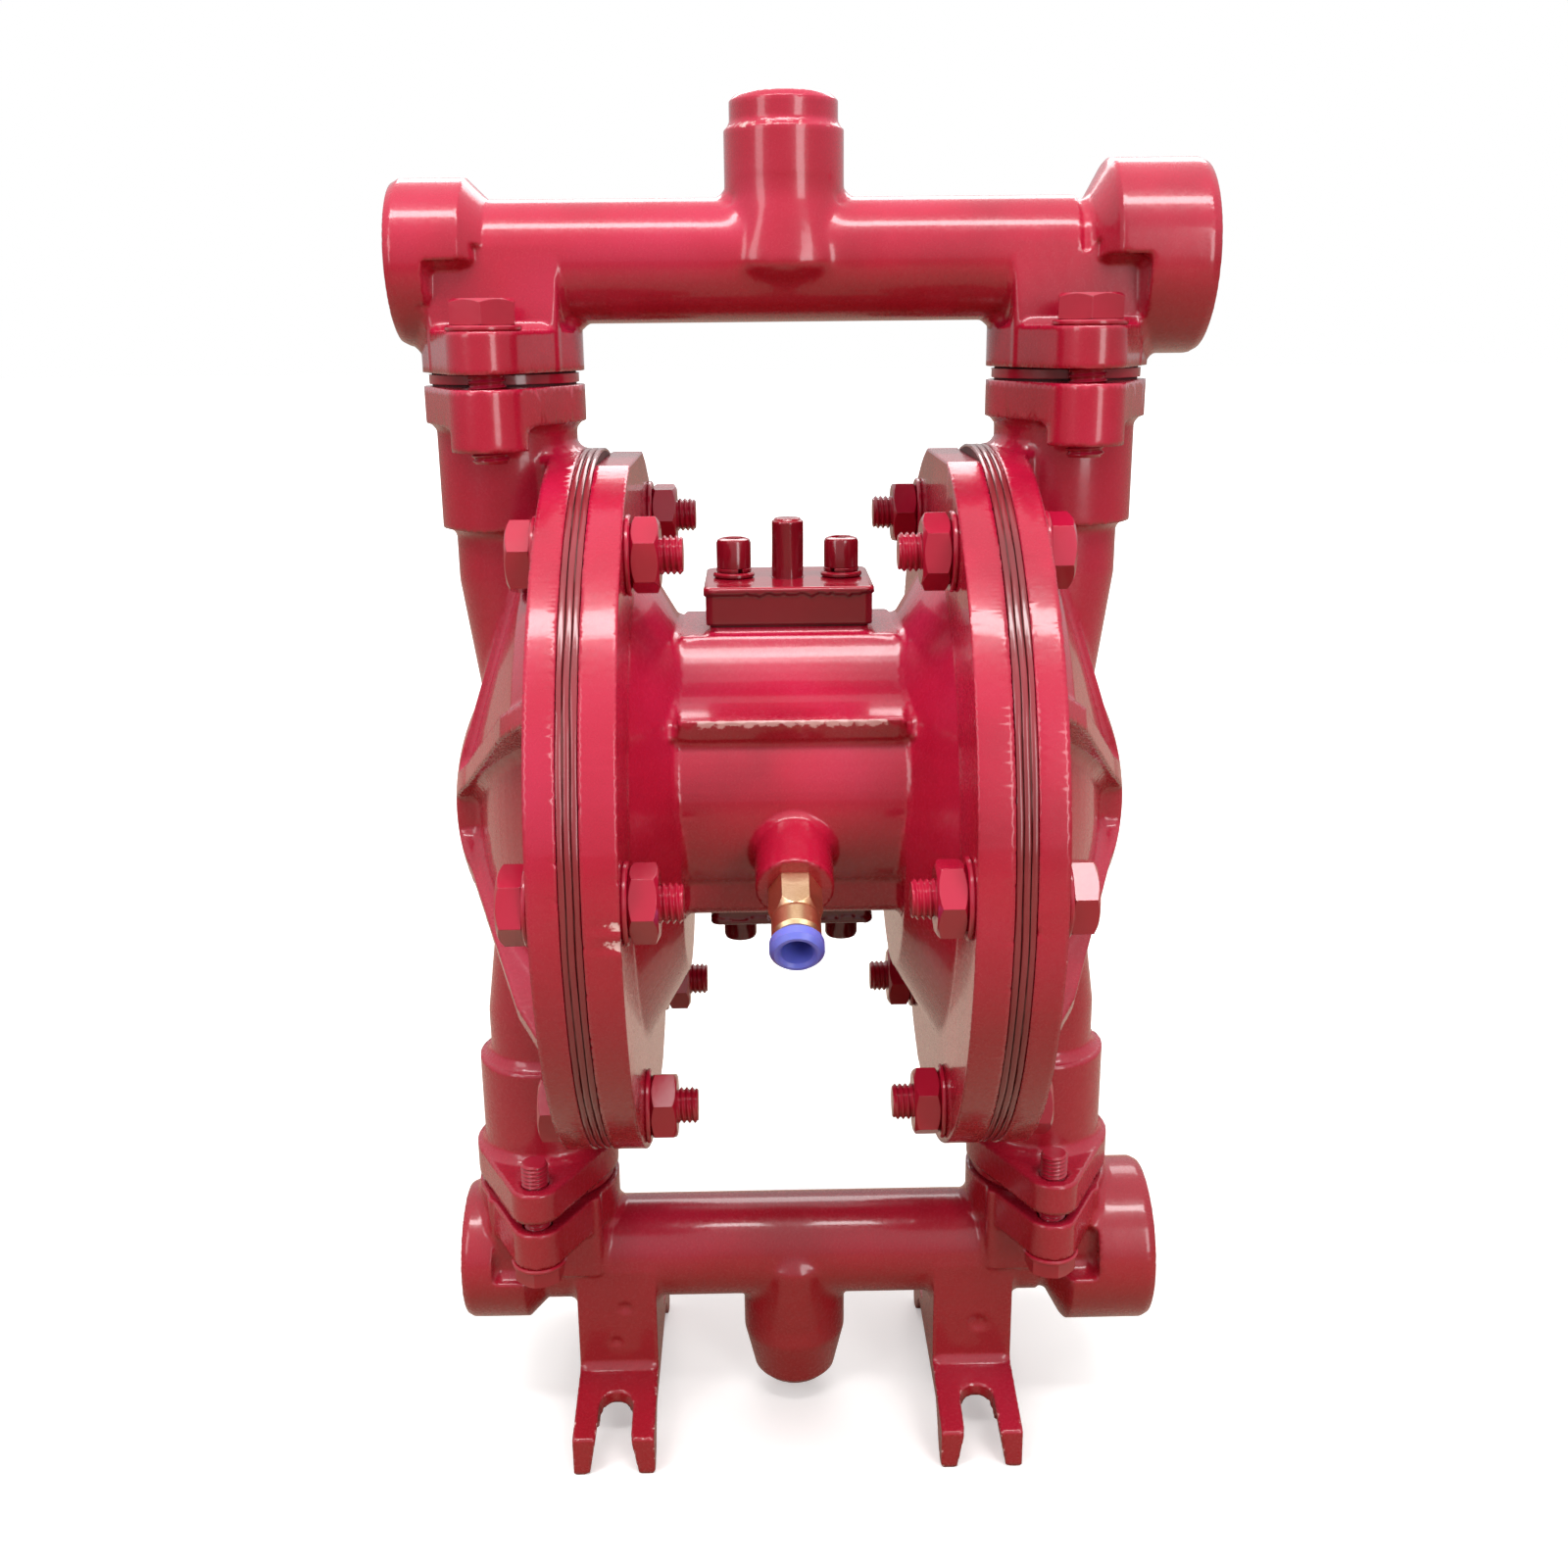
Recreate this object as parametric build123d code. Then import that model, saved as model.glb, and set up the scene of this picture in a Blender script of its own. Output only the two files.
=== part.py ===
from build123d import *
from math import cos, pi, radians, sin, sqrt
import os

# Air operated double diaphragm pump, all sizes in millimetres.
# X runs along the diaphragm shaft, Y away from the air inlet side, Z up.
# Pieces are drawn about the shaft axis and lifted onto the base plane when they are written.

# Layout
shaft_height = 200.0        # shaft axis above the feet
pipe_drop = 148.3           # manifold pipe axes above and below the shaft axis
riser_x = 76.0              # riser axes left and right of the middle

# Clamped chamber flanges
flange_radius = 100.0
inner_flange_face = 41.3
inner_flange_thickness = 8.9
flange_flat = 97.0          # half height of the flats on the inner flanges
diaphragm_rim = 5.3
outer_flange_thickness = 7.5
chamber_bolts = 6
bolt_edge_distance = 11.6   # chamber bolt centres in from the flange rim

# Centre body
body_half_length = 29.5
body_top = 51.0
body_bottom = -22.0
body_top_half = 20.0
ledge_reach = 48.0
ledge_top = 34.0
ledge_bottom = 29.0
flare_hollow = 4.0
bulge_radius = 30.0
bulge_back = 20.0
bulge_height = 9.0
strip_reach = 40.5
strip_top = -11.0
strip_chamfer = 2.5
cone_small_radius = 50.0
cone_rim_width = 30.5       # flat ring of the inner flanges outside the cone
chamber_floor = 34.0        # x of the air chamber floor
clamped_width = 23.0        # ring of the diaphragm held between the flanges
chamber_floor_radius = 47.0

# Outer covers
dome_rise = 25.0            # dome apex above the outer flange face
dome_rim_width = 30.0       # flange ring left outside the dome floor
dome_wall = 6.0
hub_rise = 33.0
hub_arc_radius = 29.0
hub_arc_drop = 7.0
crown_edge_inset = 24.0
crown_edge_rise = 9.0
crown_foot_inset = 9.0
shoulder_step = 2.5
rib_angle = 60.0
rib_width = 6.0
spine_width = 30.0
riser_radius = 15.4
riser_bore = 10.0
riser_kink = 66.0           # height where the risers lean in to the dome
riser_lean = 6.0
riser_inner_end = 22.0
collar_radius = 18.9
collar_end = 79.5
cover_top = 117.0
cover_bottom = 118.0
cover_flange_thickness = 9.5
upper_ear_depth = 15.5
lower_ear_depth = 13.6

# Two-bolt manifold joints
joint_flange_radius = 21.5
joint_bolt_pitch = 60.0
upper_ear_radius = 9.8
lower_ear_radius = 7.6
upper_joint_flange = 10.4
lower_joint_flange = 11.4
seat_thickness = 2.4
gasket_thickness = 0.6
seat_radius = 20.0
seat_bore = 9.5
gasket_bore = 14.0

# Check valve balls
ball_radius = 12.0
ball_lift = 5.0
ball_chamber_radius = 13.2
ball_clearance = 0.3
flow_slot_radius = 3.5

# Manifold castings
pipe_radius = 15.7
pipe_bore = 11.0
left_end = 102.0
left_collar_radius = 21.1
left_collar_length = 20.0
left_thread_radius = 12.06
right_end = 110.0
right_collar_radius = 24.8
right_collar_length = 26.0
right_thread_radius = 15.15
thread_depth = 18.0
collar_cone = 4.5
collar_edge = 2.0
neck_half_length = 17.2     # along the pipe
neck_half_width = 17.5      # across the pipe
neck_corner = 2.5
stop_radius = 2.5
top_boss_radius = 15.7
top_boss_height = 32.7
top_spigot_radius = 14.2
top_spigot_height = 40.5
boss_edge = 1.6
boss_wrap = 0.6             # step between a boss and the chin or nose that runs into it
chin_half_width = 16.2
chin_reach = 20.0
chin_level = -2.0
chin_tip_half_width = 11.0
chin_tip_reach = 12.0
chin_tip_level = -9.0
bottom_boss_radius = 16.0
bottom_boss_depth = 45.5
bottom_boss_taper = 29.0
bottom_boss_tip_radius = 10.2
bottom_boss_edge = 2.6
nose_half_width = 13.6
nose_reach = 18.6
nose_level = -1.0
nose_tip_half_width = 8.5
nose_tip_reach = 13.0
nose_tip_level = 6.5

# Legs and feet
leg_x = 55.4
leg_width = 24.5
leg_half_depth = 16.0
leg_bend_height = 18.0
foot_reach = 43.0
foot_thickness = 12.5
foot_slot_y = 30.5
foot_slot_width = 10.4
foot_slot_draft = 2.2       # how much each side of a slot opens towards the base
arch_foot_y = 37.0          # the feet stand only outside this distance from the middle
arch_top_y = 26.0
arch_top_height = 11.8

# Fasteners: radius, hexagon across flats, head height
m10_radius = 5.0
m10_flats = 17.0
m10_head = 6.4
m10_nut = 7.2
m10_washer_radius = 10.2
manifold_m10_flats = 16.0
manifold_m10_washer_radius = 9.6
head_corner_start = 0.8     # height share where the turned-off corners of a head begin
head_corner_end = 0.86      # radius share that they end at
m8_radius = 4.0
m8_flats = 13.0
m8_head = 5.3
m8_washer_radius = 8.2
washer_thickness = 1.4
washer_bore_clearance = 0.3
thread_end_x = 27.0
spotface_margin = 1.0
bolt_hole_clearance = 0.5
tapped_clearance = 0.03
thread_show = 3.0           # thread that stands past a tapped ear

# Diaphragms, plates and shaft
diaphragm_centre = 4.0
roll_width = 24.0
roll_height = 6.0
roll_free_edge = 3.0        # flat ring between the clamped rim and the roll
plate_edge_gap = 4.0
inner_plate_thickness = 5.0
outer_plate_thickness = 6.0
plate_hub_radius = 20.0
shaft_radius = 9.0
stub_radius = 6.0
shaft_nut_flats = 19.0
shaft_nut_height = 8.0
stub_show = 1.2
bush_radius = 11.5
bush_inner_end = 14.0
seal_length = 5.0
running_clearance = 0.05

# Air valve
sleeve_radius = 10.5
spool_radius = 7.0
sleeve_floor = 14.5
spool_length = 25.0
spool_stroke = 7.0
spool_groove_depth = 2.0
spool_land_gap = 0.22       # width of a spool waist as a share of the spool's length
spool_ring_section = 1.0
pilot_y = 22.0
pilot_z = -2.0
pilot_radius = 3.0
pilot_bush_radius = 5.0
pilot_bush_length = 12.0
shaft_stroke = 8.0
pilot_travel = 3.2
contact_gap = 0.15
lower_chamber_radius = 9.0
lower_chamber_top = -13.5

# Valve caps
cap_half_length = 22.6
cap_half_width = 19.0
cap_thickness = 10.4
cap_pad_inset = 1.0
cap_pad_height = 2.0
cap_corner = 2.0
cap_screw_x = 15.0
cap_screw_radius = 3.0
cap_screw_head_radius = 4.8
cap_screw_head = 8.2
cap_screw_socket = 5.0
cap_screw_socket_depth = 3.0
cap_screw_grip = 8.0
cap_washer_radius = 5.8
cap_washer_thickness = 1.6
cap_lock_ring = 1.2
cap_lock_ring_radius = 4.9

# Reset pin
pin_radius = 4.5
pin_stem_radius = 3.0
pin_top = 80.4
pin_travel = 4.0
pin_well_depth = 8.0
spring_wire = 0.7
spring_turns = 3.0

# Air inlet fitting
fitting_tilt = 25.0         # degrees below the horizontal
fitting_y = -61.0
fitting_z = -7.0
boss_radius = 10.2
boss_root = 30.0            # how far the inlet boss runs back into the body
fitting_thread_radius = 4.85
fitting_thread_length = 8.0
inlet_passage_radius = 3.8
hex_flats = 12.0
hex_length = 10.5
barrel_radius = 6.3
barrel_length = 7.0
collet_bore = 4.1
collet_sleeve_radius = 5.2
collet_sleeve_length = 6.0
collet_flange_radius = 6.9
collet_flange_length = 3.6
collet_travel = 1.5
collet_socket_extra = 0.4

# Exhaust port on the back
exhaust_boss_radius = 14.0
exhaust_reach = 57.0
exhaust_thread_radius = 9.3
exhaust_thread_depth = 24.0
exhaust_passage_radius = 4.5
exhaust_passage_z = 19.5
chamber_passage_radius = 3.0
chamber_passage_z = 31.0

# Planes and radii worked out from the sizes above
chamber_bolt_circle = flange_radius - bolt_edge_distance
cone_large_radius = flange_radius - cone_rim_width
chamber_radius = flange_radius - clamped_width
dome_base_radius = flange_radius - dome_rim_width
crown_edge_radius = flange_radius - crown_edge_inset
crown_foot_radius = flange_radius - crown_foot_inset
roll_outer_radius = chamber_radius - roll_free_edge
roll_inner_radius = roll_outer_radius - roll_width
plate_radius = roll_inner_radius - plate_edge_gap
inner_joint = inner_flange_face + inner_flange_thickness
outer_joint = inner_joint + diaphragm_rim
outer_face = outer_joint + outer_flange_thickness
disc_middle = inner_joint + diaphragm_rim / 2
plate_inner_face = disc_middle - diaphragm_centre / 2
plate_outer_face = disc_middle + diaphragm_centre / 2
shaft_end = plate_inner_face - inner_plate_thickness
nut_seat = plate_outer_face + outer_plate_thickness
joint_gap = seat_thickness + 2 * gasket_thickness
upper_flange_bottom = cover_top + joint_gap
upper_flange_top = upper_flange_bottom + upper_joint_flange
lower_flange_top = -(cover_bottom + joint_gap)
lower_flange_bottom = lower_flange_top - lower_joint_flange
ball_seat_rise = sqrt(ball_radius**2 - seat_bore**2) + ball_clearance
ball_top_reach = ball_seat_rise + ball_radius + ball_lift + ball_clearance
upper_ball_z = cover_top + gasket_thickness + seat_thickness + ball_seat_rise
lower_ball_z = -cover_bottom - gasket_thickness + ball_seat_rise
cap_top_seat = body_top + cap_pad_height + gasket_thickness
cap_bottom_seat = body_bottom - gasket_thickness
cap_top_face = cap_top_seat + cap_thickness
cap_bottom_face = cap_bottom_seat - cap_thickness
pipe_wall_end = right_end + 1
chin_top = pipe_radius - 2
far = 3 * flange_radius
middle = (Align.CENTER, Align.CENTER, Align.MIN)
fitting_direction = (0, -cos(radians(fitting_tilt)), -sin(radians(fitting_tilt)))
fitting_frame = Plane(
    origin=(0, fitting_y, fitting_z), x_dir=(1, 0, 0), z_dir=fitting_direction
).location


def rod_z(radius, low, high, x=0.0, y=0.0):
    return Pos(x, y, low) * Cylinder(radius, high - low, align=middle)


def rod_x(radius, low, high, y=0.0, z=0.0):
    return Pos(low, y, z) * Rot(0, 90, 0) * Cylinder(radius, high - low, align=middle)


def rod_y(radius, low, high, x=0.0, z=0.0):
    return Pos(x, low, z) * Rot(-90, 0, 0) * Cylinder(radius, high - low, align=middle)


def block(x_low, x_high, y_low, y_high, z_low, z_high):
    corner = (Align.MIN, Align.MIN, Align.MIN)
    size = Box(x_high - x_low, y_high - y_low, z_high - z_low, align=corner)
    return Pos(x_low, y_low, z_low) * size


def turned_x(points):
    # points are (x, radius) pairs of a closed outline
    return revolve(make_face(Polyline(*points, close=True)), Axis.X)


def turned_z(points):
    # points are (radius, z) pairs of a closed outline
    return revolve(Plane.XZ * make_face(Polyline(*points, close=True)), Axis.Z)


def hexagon_prism(across_flats, height):
    return extrude(RegularPolygon(across_flats / 2, 6, major_radius=False), height)


def chamfered_hex(across_flats, height):
    # a hexagon whose top corners are turned off, as on a bolt head or nut
    corner = across_flats / sqrt(3)
    cone = turned_z(
        [
            (0, 0), (corner, 0), (corner, height * head_corner_start),
            (corner * head_corner_end, height), (0, height),
        ]
    )
    return hexagon_prism(across_flats, height) & cone


def mirrored_x(shape):
    return mirror(shape, Plane.YZ)


def both_sides(name, shape):
    parts[name + "_right"] = shape
    parts[name + "_left"] = mirrored_x(shape)


def chamber_bolt_places():
    for i in range(chamber_bolts):
        angle = 2 * pi * (i + 0.5) / chamber_bolts
        yield chamber_bolt_circle * sin(angle), chamber_bolt_circle * cos(angle), angle


def flange_holes(low, high, radius=m10_radius + bolt_hole_clearance):
    return [rod_x(radius, low, high, y, z) for y, z, _ in chamber_bolt_places()]


def centre_outline():
    # section of the centre block across the shaft, the same front and back
    def bulge_y(z):
        return bulge_back + sqrt(bulge_radius**2 - (z - bulge_height) ** 2)

    run, fall = ledge_reach - body_top_half, body_top - ledge_top
    chord = sqrt(run**2 + fall**2)
    hollow_y = (body_top_half + ledge_reach) / 2 - flare_hollow * fall / chord
    hollow_z = (body_top + ledge_top) / 2 - flare_hollow * run / chord
    lines = []
    for side in (-1, 1):
        top = (side * body_top_half, body_top)
        ledge = (side * ledge_reach, ledge_top)
        under = (side * ledge_reach, ledge_bottom)
        bulge_start = (side * bulge_y(ledge_bottom), ledge_bottom)
        bulge_middle = (side * (bulge_back + bulge_radius), bulge_height)
        bulge_end = (side * bulge_y(strip_top), strip_top)
        strip = (side * strip_reach, strip_top)
        strip_foot = (side * strip_reach, body_bottom + strip_chamfer)
        foot = (side * (strip_reach - strip_chamfer), body_bottom)
        lines += ThreePointArc(top, (side * hollow_y, hollow_z), ledge).edges()
        lines += Polyline(ledge, under, bulge_start).edges()
        lines += ThreePointArc(bulge_start, bulge_middle, bulge_end).edges()
        lines += Polyline(bulge_end, strip, strip_foot, foot, (0, body_bottom)).edges()
        lines += Line((0, body_top), top).edges()
    return make_face(lines)


def cap_outline(inset):
    return RectangleRounded(
        2 * (cap_half_length - inset), 2 * (cap_half_width - inset), cap_corner
    )


def centre_body():
    body = extrude(Plane.YZ * centre_outline(), body_half_length, both=True)
    bell = turned_x([
        (body_half_length, 0),
        (body_half_length, cone_small_radius),
        (inner_flange_face, cone_large_radius),
        (inner_flange_face, flange_radius),
        (inner_joint, flange_radius),
        (inner_joint, 0),
    ])
    bell = bell & block(0, far, -far, far, -flange_flat, flange_flat)
    floor_edge = chamber_floor + 2
    air_chamber = turned_x([
        (chamber_floor, 0),
        (chamber_floor, chamber_floor_radius - 5),
        (floor_edge, chamber_floor_radius),
        (inner_joint - 2.2, chamber_radius - 3),
        (inner_joint + 1, chamber_radius),
        (inner_joint + 1, 0),
    ])
    body += bell + mirrored_x(bell)
    body += extrude(Pos(0, 0, body_top) * cap_outline(cap_pad_inset), cap_pad_height)
    body += fitting_frame * Pos(0, 0, -boss_root) * Cylinder(boss_radius, boss_root, align=middle)
    body += rod_y(exhaust_boss_radius, bulge_back, exhaust_reach, 0, bulge_height)
    holes = [air_chamber, mirrored_x(air_chamber)]
    holes += flange_holes(-far, far)
    bore = shaft_radius + bolt_hole_clearance
    holes.append(rod_x(bore, -far, far))
    bush_bore = rod_x(bush_radius, bush_inner_end, chamber_floor + 1)
    holes += [bush_bore, mirrored_x(bush_bore)]
    holes.append(rod_z(sleeve_radius, sleeve_floor, body_top + cap_pad_height + 1))
    holes.append(rod_z(lower_chamber_radius, body_bottom - 1, lower_chamber_top))
    holes.append(rod_x(pilot_bush_radius, -chamber_floor - 1, chamber_floor + 1, pilot_y, pilot_z))
    holes.append(rod_x(
        chamber_passage_radius, -chamber_floor - 1, chamber_floor + 1, 0, chamber_passage_z
    ))
    screw_bore = cap_screw_radius + tapped_clearance
    for x in (-cap_screw_x, cap_screw_x):
        top_tip = cap_top_seat - cap_screw_grip - 2
        holes.append(rod_z(screw_bore, top_tip, body_top + cap_pad_height + 1, x))
        holes.append(rod_z(screw_bore, body_bottom - 1, body_bottom + cap_screw_grip, x))
    thread_bore = fitting_thread_radius + tapped_clearance
    thread_hole = Cylinder(thread_bore, fitting_thread_length + 2, align=middle)
    holes.append(fitting_frame * Pos(0, 0, -fitting_thread_length - 1) * thread_hole)
    inlet_length = (-fitting_y - sleeve_radius + 2) / cos(radians(fitting_tilt))
    inlet = Cylinder(inlet_passage_radius, inlet_length, align=middle)
    holes.append(fitting_frame * Pos(0, 0, -inlet_length) * inlet)
    exhaust_end = exhaust_reach - exhaust_thread_depth
    holes.append(rod_y(exhaust_thread_radius, exhaust_end, exhaust_reach + 1, 0, bulge_height))
    holes.append(rod_y(
        exhaust_passage_radius, sleeve_radius - 2, exhaust_end + 4, 0, exhaust_passage_z
    ))
    return body - holes


def crown(sink):
    # the turned envelope of the ribs and shoulders, sunk below the rib tops
    top = outer_face + hub_rise - sink
    arc_end = (top - hub_arc_drop, hub_arc_radius)
    arc_middle = (top - hub_arc_drop * 0.27, hub_arc_radius * 0.52)
    edge = (outer_face + crown_edge_rise - sink, crown_edge_radius)
    foot = (outer_face, crown_foot_radius - 2 * sink)
    base = outer_face - 1
    outline = ThreePointArc((top, 0), arc_middle, arc_end).edges()
    outline += Polyline(
        arc_end, edge, foot, (base, foot[1]), (base, 0), (top, 0)
    ).edges()
    return revolve(make_face(outline), Axis.X)


def sector(half_angle):
    # wedge about the shaft axis that opens upwards, drawn long enough to span the cover
    reach = 2 * flange_radius
    side = (reach * sin(radians(half_angle)), reach * cos(radians(half_angle)))
    wedge = Polyline((0, 0), side, (side[0], reach), (-side[0], reach), (-side[0], side[1]), close=True)
    return extrude(Plane.YZ * make_face(wedge), far)


def ribs():
    bars = block(0, far, -spine_width / 2, spine_width / 2, -crown_foot_radius, crown_foot_radius)
    arm = block(0, far, -rib_width / 2, rib_width / 2, 0, crown_foot_radius)
    for angle in (rib_angle, 180 - rib_angle, 180 + rib_angle, -rib_angle):
        bars += Rot(angle, 0, 0) * arm
    return crown(0) & bars


def dome(rise, base_radius, low):
    # spherical cap that stands rise above the flange face, over a disc that reaches back to low
    radius = (base_radius**2 + rise**2) / (2 * rise)
    top = (outer_face + rise, 0)
    base = (outer_face, base_radius)
    middle_x = outer_face + rise - radius + sqrt(radius**2 - base_radius**2 / 4)
    outline = ThreePointArc(top, (middle_x, base_radius / 2), base).edges()
    outline += Polyline(base, (low, base_radius), (low, 0), top).edges()
    return revolve(make_face(outline), Axis.X)


def riser(sign, radius, end):
    # upright to the kink, then leaning in to the dome
    kink = (riser_x, 0, sign * riser_kink)
    inner = (riser_x - riser_lean, 0, sign * riser_inner_end)
    low, high = sorted((sign * riser_kink, sign * end))
    pipe = rod_z(radius, low, high, riser_x) + Pos(*kink) * Sphere(radius)
    lean = Vector(*inner) - Vector(*kink)
    leaning = Plane(origin=kink, z_dir=lean.normalized()).location
    return pipe + leaning * Cylinder(radius, lean.length, align=middle)


def joint_outline(ear_radius):
    # two-bolt flange outline: a round middle drawn out to an ear at each bolt
    ears = [Pos(0, y) * Circle(ear_radius) for y in (-joint_bolt_pitch / 2, joint_bolt_pitch / 2)]
    return make_hull([*Circle(joint_flange_radius).edges(), *ears[0].edges(), *ears[1].edges()])


def joint_bolt_holes(radius, low, high):
    return [rod_z(radius, low, high, riser_x, y) for y in (-joint_bolt_pitch / 2, joint_bolt_pitch / 2)]


def outer_cover():
    cover = rod_x(flange_radius, outer_joint, outer_face)
    cover += dome(dome_rise, dome_base_radius, outer_joint)
    wedge = sector(rib_angle)
    shoulders = crown(shoulder_step)
    cover += shoulders & wedge
    cover += shoulders & mirror(wedge, Plane.XY)
    cover += ribs()
    ears = (
        (1, cover_top, upper_ear_radius, upper_ear_depth),
        (-1, cover_bottom, lower_ear_radius, lower_ear_depth),
    )
    for sign, end, ear_radius, ear_depth in ears:
        cover += riser(sign, riser_radius, end)
        low, high = sorted((sign * collar_end, sign * end))
        cover += rod_z(collar_radius, low, high, riser_x)
        face = Pos(riser_x, 0, sign * end) * joint_outline(ear_radius)
        cover += extrude(face, sign * -cover_flange_thickness)
        for y in (-joint_bolt_pitch / 2, joint_bolt_pitch / 2):
            low, high = sorted((sign * (end - ear_depth), sign * end))
            cover += rod_z(ear_radius, low, high, riser_x, y)
    cavity_rise = dome_rise - dome_wall
    cavity_radius = dome_base_radius - dome_wall / 2
    cavity = dome(cavity_rise, cavity_radius, outer_joint - 1)
    cover -= cavity
    cover -= riser(1, riser_bore, cover_top + 1) + riser(-1, riser_bore, cover_bottom + 1)
    chamber_top = -cover_bottom - gasket_thickness + ball_top_reach
    cover -= rod_z(ball_chamber_radius, -cover_bottom - 1, chamber_top, riser_x)
    for y in (-riser_bore, riser_bore):
        cover -= rod_z(flow_slot_radius, -cover_bottom - 1, chamber_top + 8, riser_x, y)
    cover -= flange_holes(outer_joint - 1, outer_face + 1)
    cover -= flange_holes(outer_face, far, m10_washer_radius + spotface_margin)
    ear_bottom = cover_top - upper_ear_depth
    ear_top = lower_ear_depth - cover_bottom
    cover -= joint_bolt_holes(m10_radius + tapped_clearance, ear_bottom - 1, cover_top + 1)
    cover -= joint_bolt_holes(m8_radius + tapped_clearance, -cover_bottom - 1, ear_top + 1)
    return cover


def port_collar(end, radius, length):
    # thread collar on the pipe end, with an eased rim and a conical shoulder
    inner = end - length
    return turned_x([
        (inner - collar_cone, 0),
        (inner - collar_cone, pipe_radius),
        (inner, radius - 1),
        (inner + 1, radius),
        (end - collar_edge, radius),
        (end, radius - collar_edge / 2),
        (end, 0),
    ])


def manifold_pipe(flange_near, flange_thickness, ear_radius, head_pocket):
    # pipe with its two port collars, necks and joint flanges, drawn on the pipe axis;
    # flange_near is how far the joint face lies below the pipe axis
    pipe = rod_x(pipe_radius, -riser_x, riser_x)
    pipe += port_collar(right_end, right_collar_radius, right_collar_length)
    pipe += mirrored_x(port_collar(left_end, left_collar_radius, left_collar_length))
    for x in (-riser_x, riser_x):
        face = Pos(x, 0, -flange_near) * joint_outline(ear_radius)
        pipe += extrude(face, flange_thickness)
        neck = RectangleRounded(2 * neck_half_length, 2 * neck_half_width, neck_corner)
        pipe += extrude(Pos(x, 0, -flange_near) * neck, flange_near)
    head_floor = -flange_near + flange_thickness
    for x in (-riser_x, riser_x):
        for y_low, y_high in ((-far, -neck_half_width), (neck_half_width, far)):
            pipe -= block(x - head_pocket, x + head_pocket, y_low, y_high, head_floor, 0)
    bores = [rod_x(pipe_bore, -left_end - 1, pipe_wall_end)]
    bores.append(rod_x(left_thread_radius, -left_end - 1, -left_end + thread_depth))
    bores.append(rod_x(right_thread_radius, right_end - thread_depth, pipe_wall_end))
    return pipe - bores


def discharge_manifold():
    near = pipe_drop - upper_flange_bottom
    pipe = manifold_pipe(near, upper_joint_flange, upper_ear_radius, joint_flange_radius - 5)
    chin = loft([
        Pos(0, 0, chin_tip_level) * Ellipse(chin_tip_half_width, chin_tip_reach),
        Pos(0, 0, chin_level) * Ellipse(chin_half_width, chin_reach),
    ])
    chin += loft([
        Pos(0, 0, chin_level) * Ellipse(chin_half_width, chin_reach),
        Pos(0, 0, chin_top) * Circle(top_boss_radius + boss_wrap),
    ])
    boss = turned_z([
        (0, 0),
        (top_boss_radius, 0),
        (top_boss_radius, top_boss_height - boss_edge / 2),
        (top_boss_radius - boss_edge / 2, top_boss_height),
        (top_spigot_radius, top_boss_height),
        (top_spigot_radius, top_spigot_height - boss_edge),
        (top_spigot_radius - boss_edge, top_spigot_height),
        (0, top_spigot_height),
    ])
    pipe += boss + chin
    pipe -= rod_x(pipe_bore, -left_end - 1, pipe_wall_end)
    for x in (-riser_x, riser_x):
        chamber_top = -near + ball_top_reach - gasket_thickness
        pipe -= rod_z(ball_chamber_radius, -near - 1, chamber_top, x)
        pipe += rod_z(stop_radius, chamber_top, pipe_bore + 1, x)
        for y in (-joint_bolt_pitch / 2, joint_bolt_pitch / 2):
            hole = m10_radius + bolt_hole_clearance
            pipe -= rod_z(hole, -near - 1, -near + upper_joint_flange + 1, x, y)
    return Pos(0, 0, pipe_drop) * pipe


def leg():
    # upright web that bends out to a foot at the front and at the back, arched underneath
    base = -(shaft_height - pipe_drop)
    bend = base + leg_bend_height
    toe = base + foot_thickness
    outline = Polyline(
        (-leg_half_depth, 0),
        (-leg_half_depth, bend),
        (-foot_reach, toe),
        (-foot_reach, base),
        (-arch_foot_y, base),
        (-arch_top_y, base + arch_top_height),
        (arch_top_y, base + arch_top_height),
        (arch_foot_y, base),
        (foot_reach, base),
        (foot_reach, toe),
        (leg_half_depth, bend),
        (leg_half_depth, 0),
        close=True,
    )
    web = extrude(Plane.YZ * make_face(outline), leg_width / 2, both=True)
    half = foot_slot_width / 2
    wide = half + foot_slot_draft
    slot = Polyline(
        (half, bend), (half, toe), (wide, base), (wide, base - 1),
        (-wide, base - 1), (-wide, base), (-half, toe), (-half, bend), close=True,
    )
    channel = extrude(Plane.XZ * make_face(slot), far)
    for sign, cut in ((-1, channel), (1, mirror(channel, Plane.XZ))):
        web -= Pos(0, sign * foot_slot_y, 0) * cut
        web -= rod_z(half, base - 1, bend, 0, sign * foot_slot_y)
    return web


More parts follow.
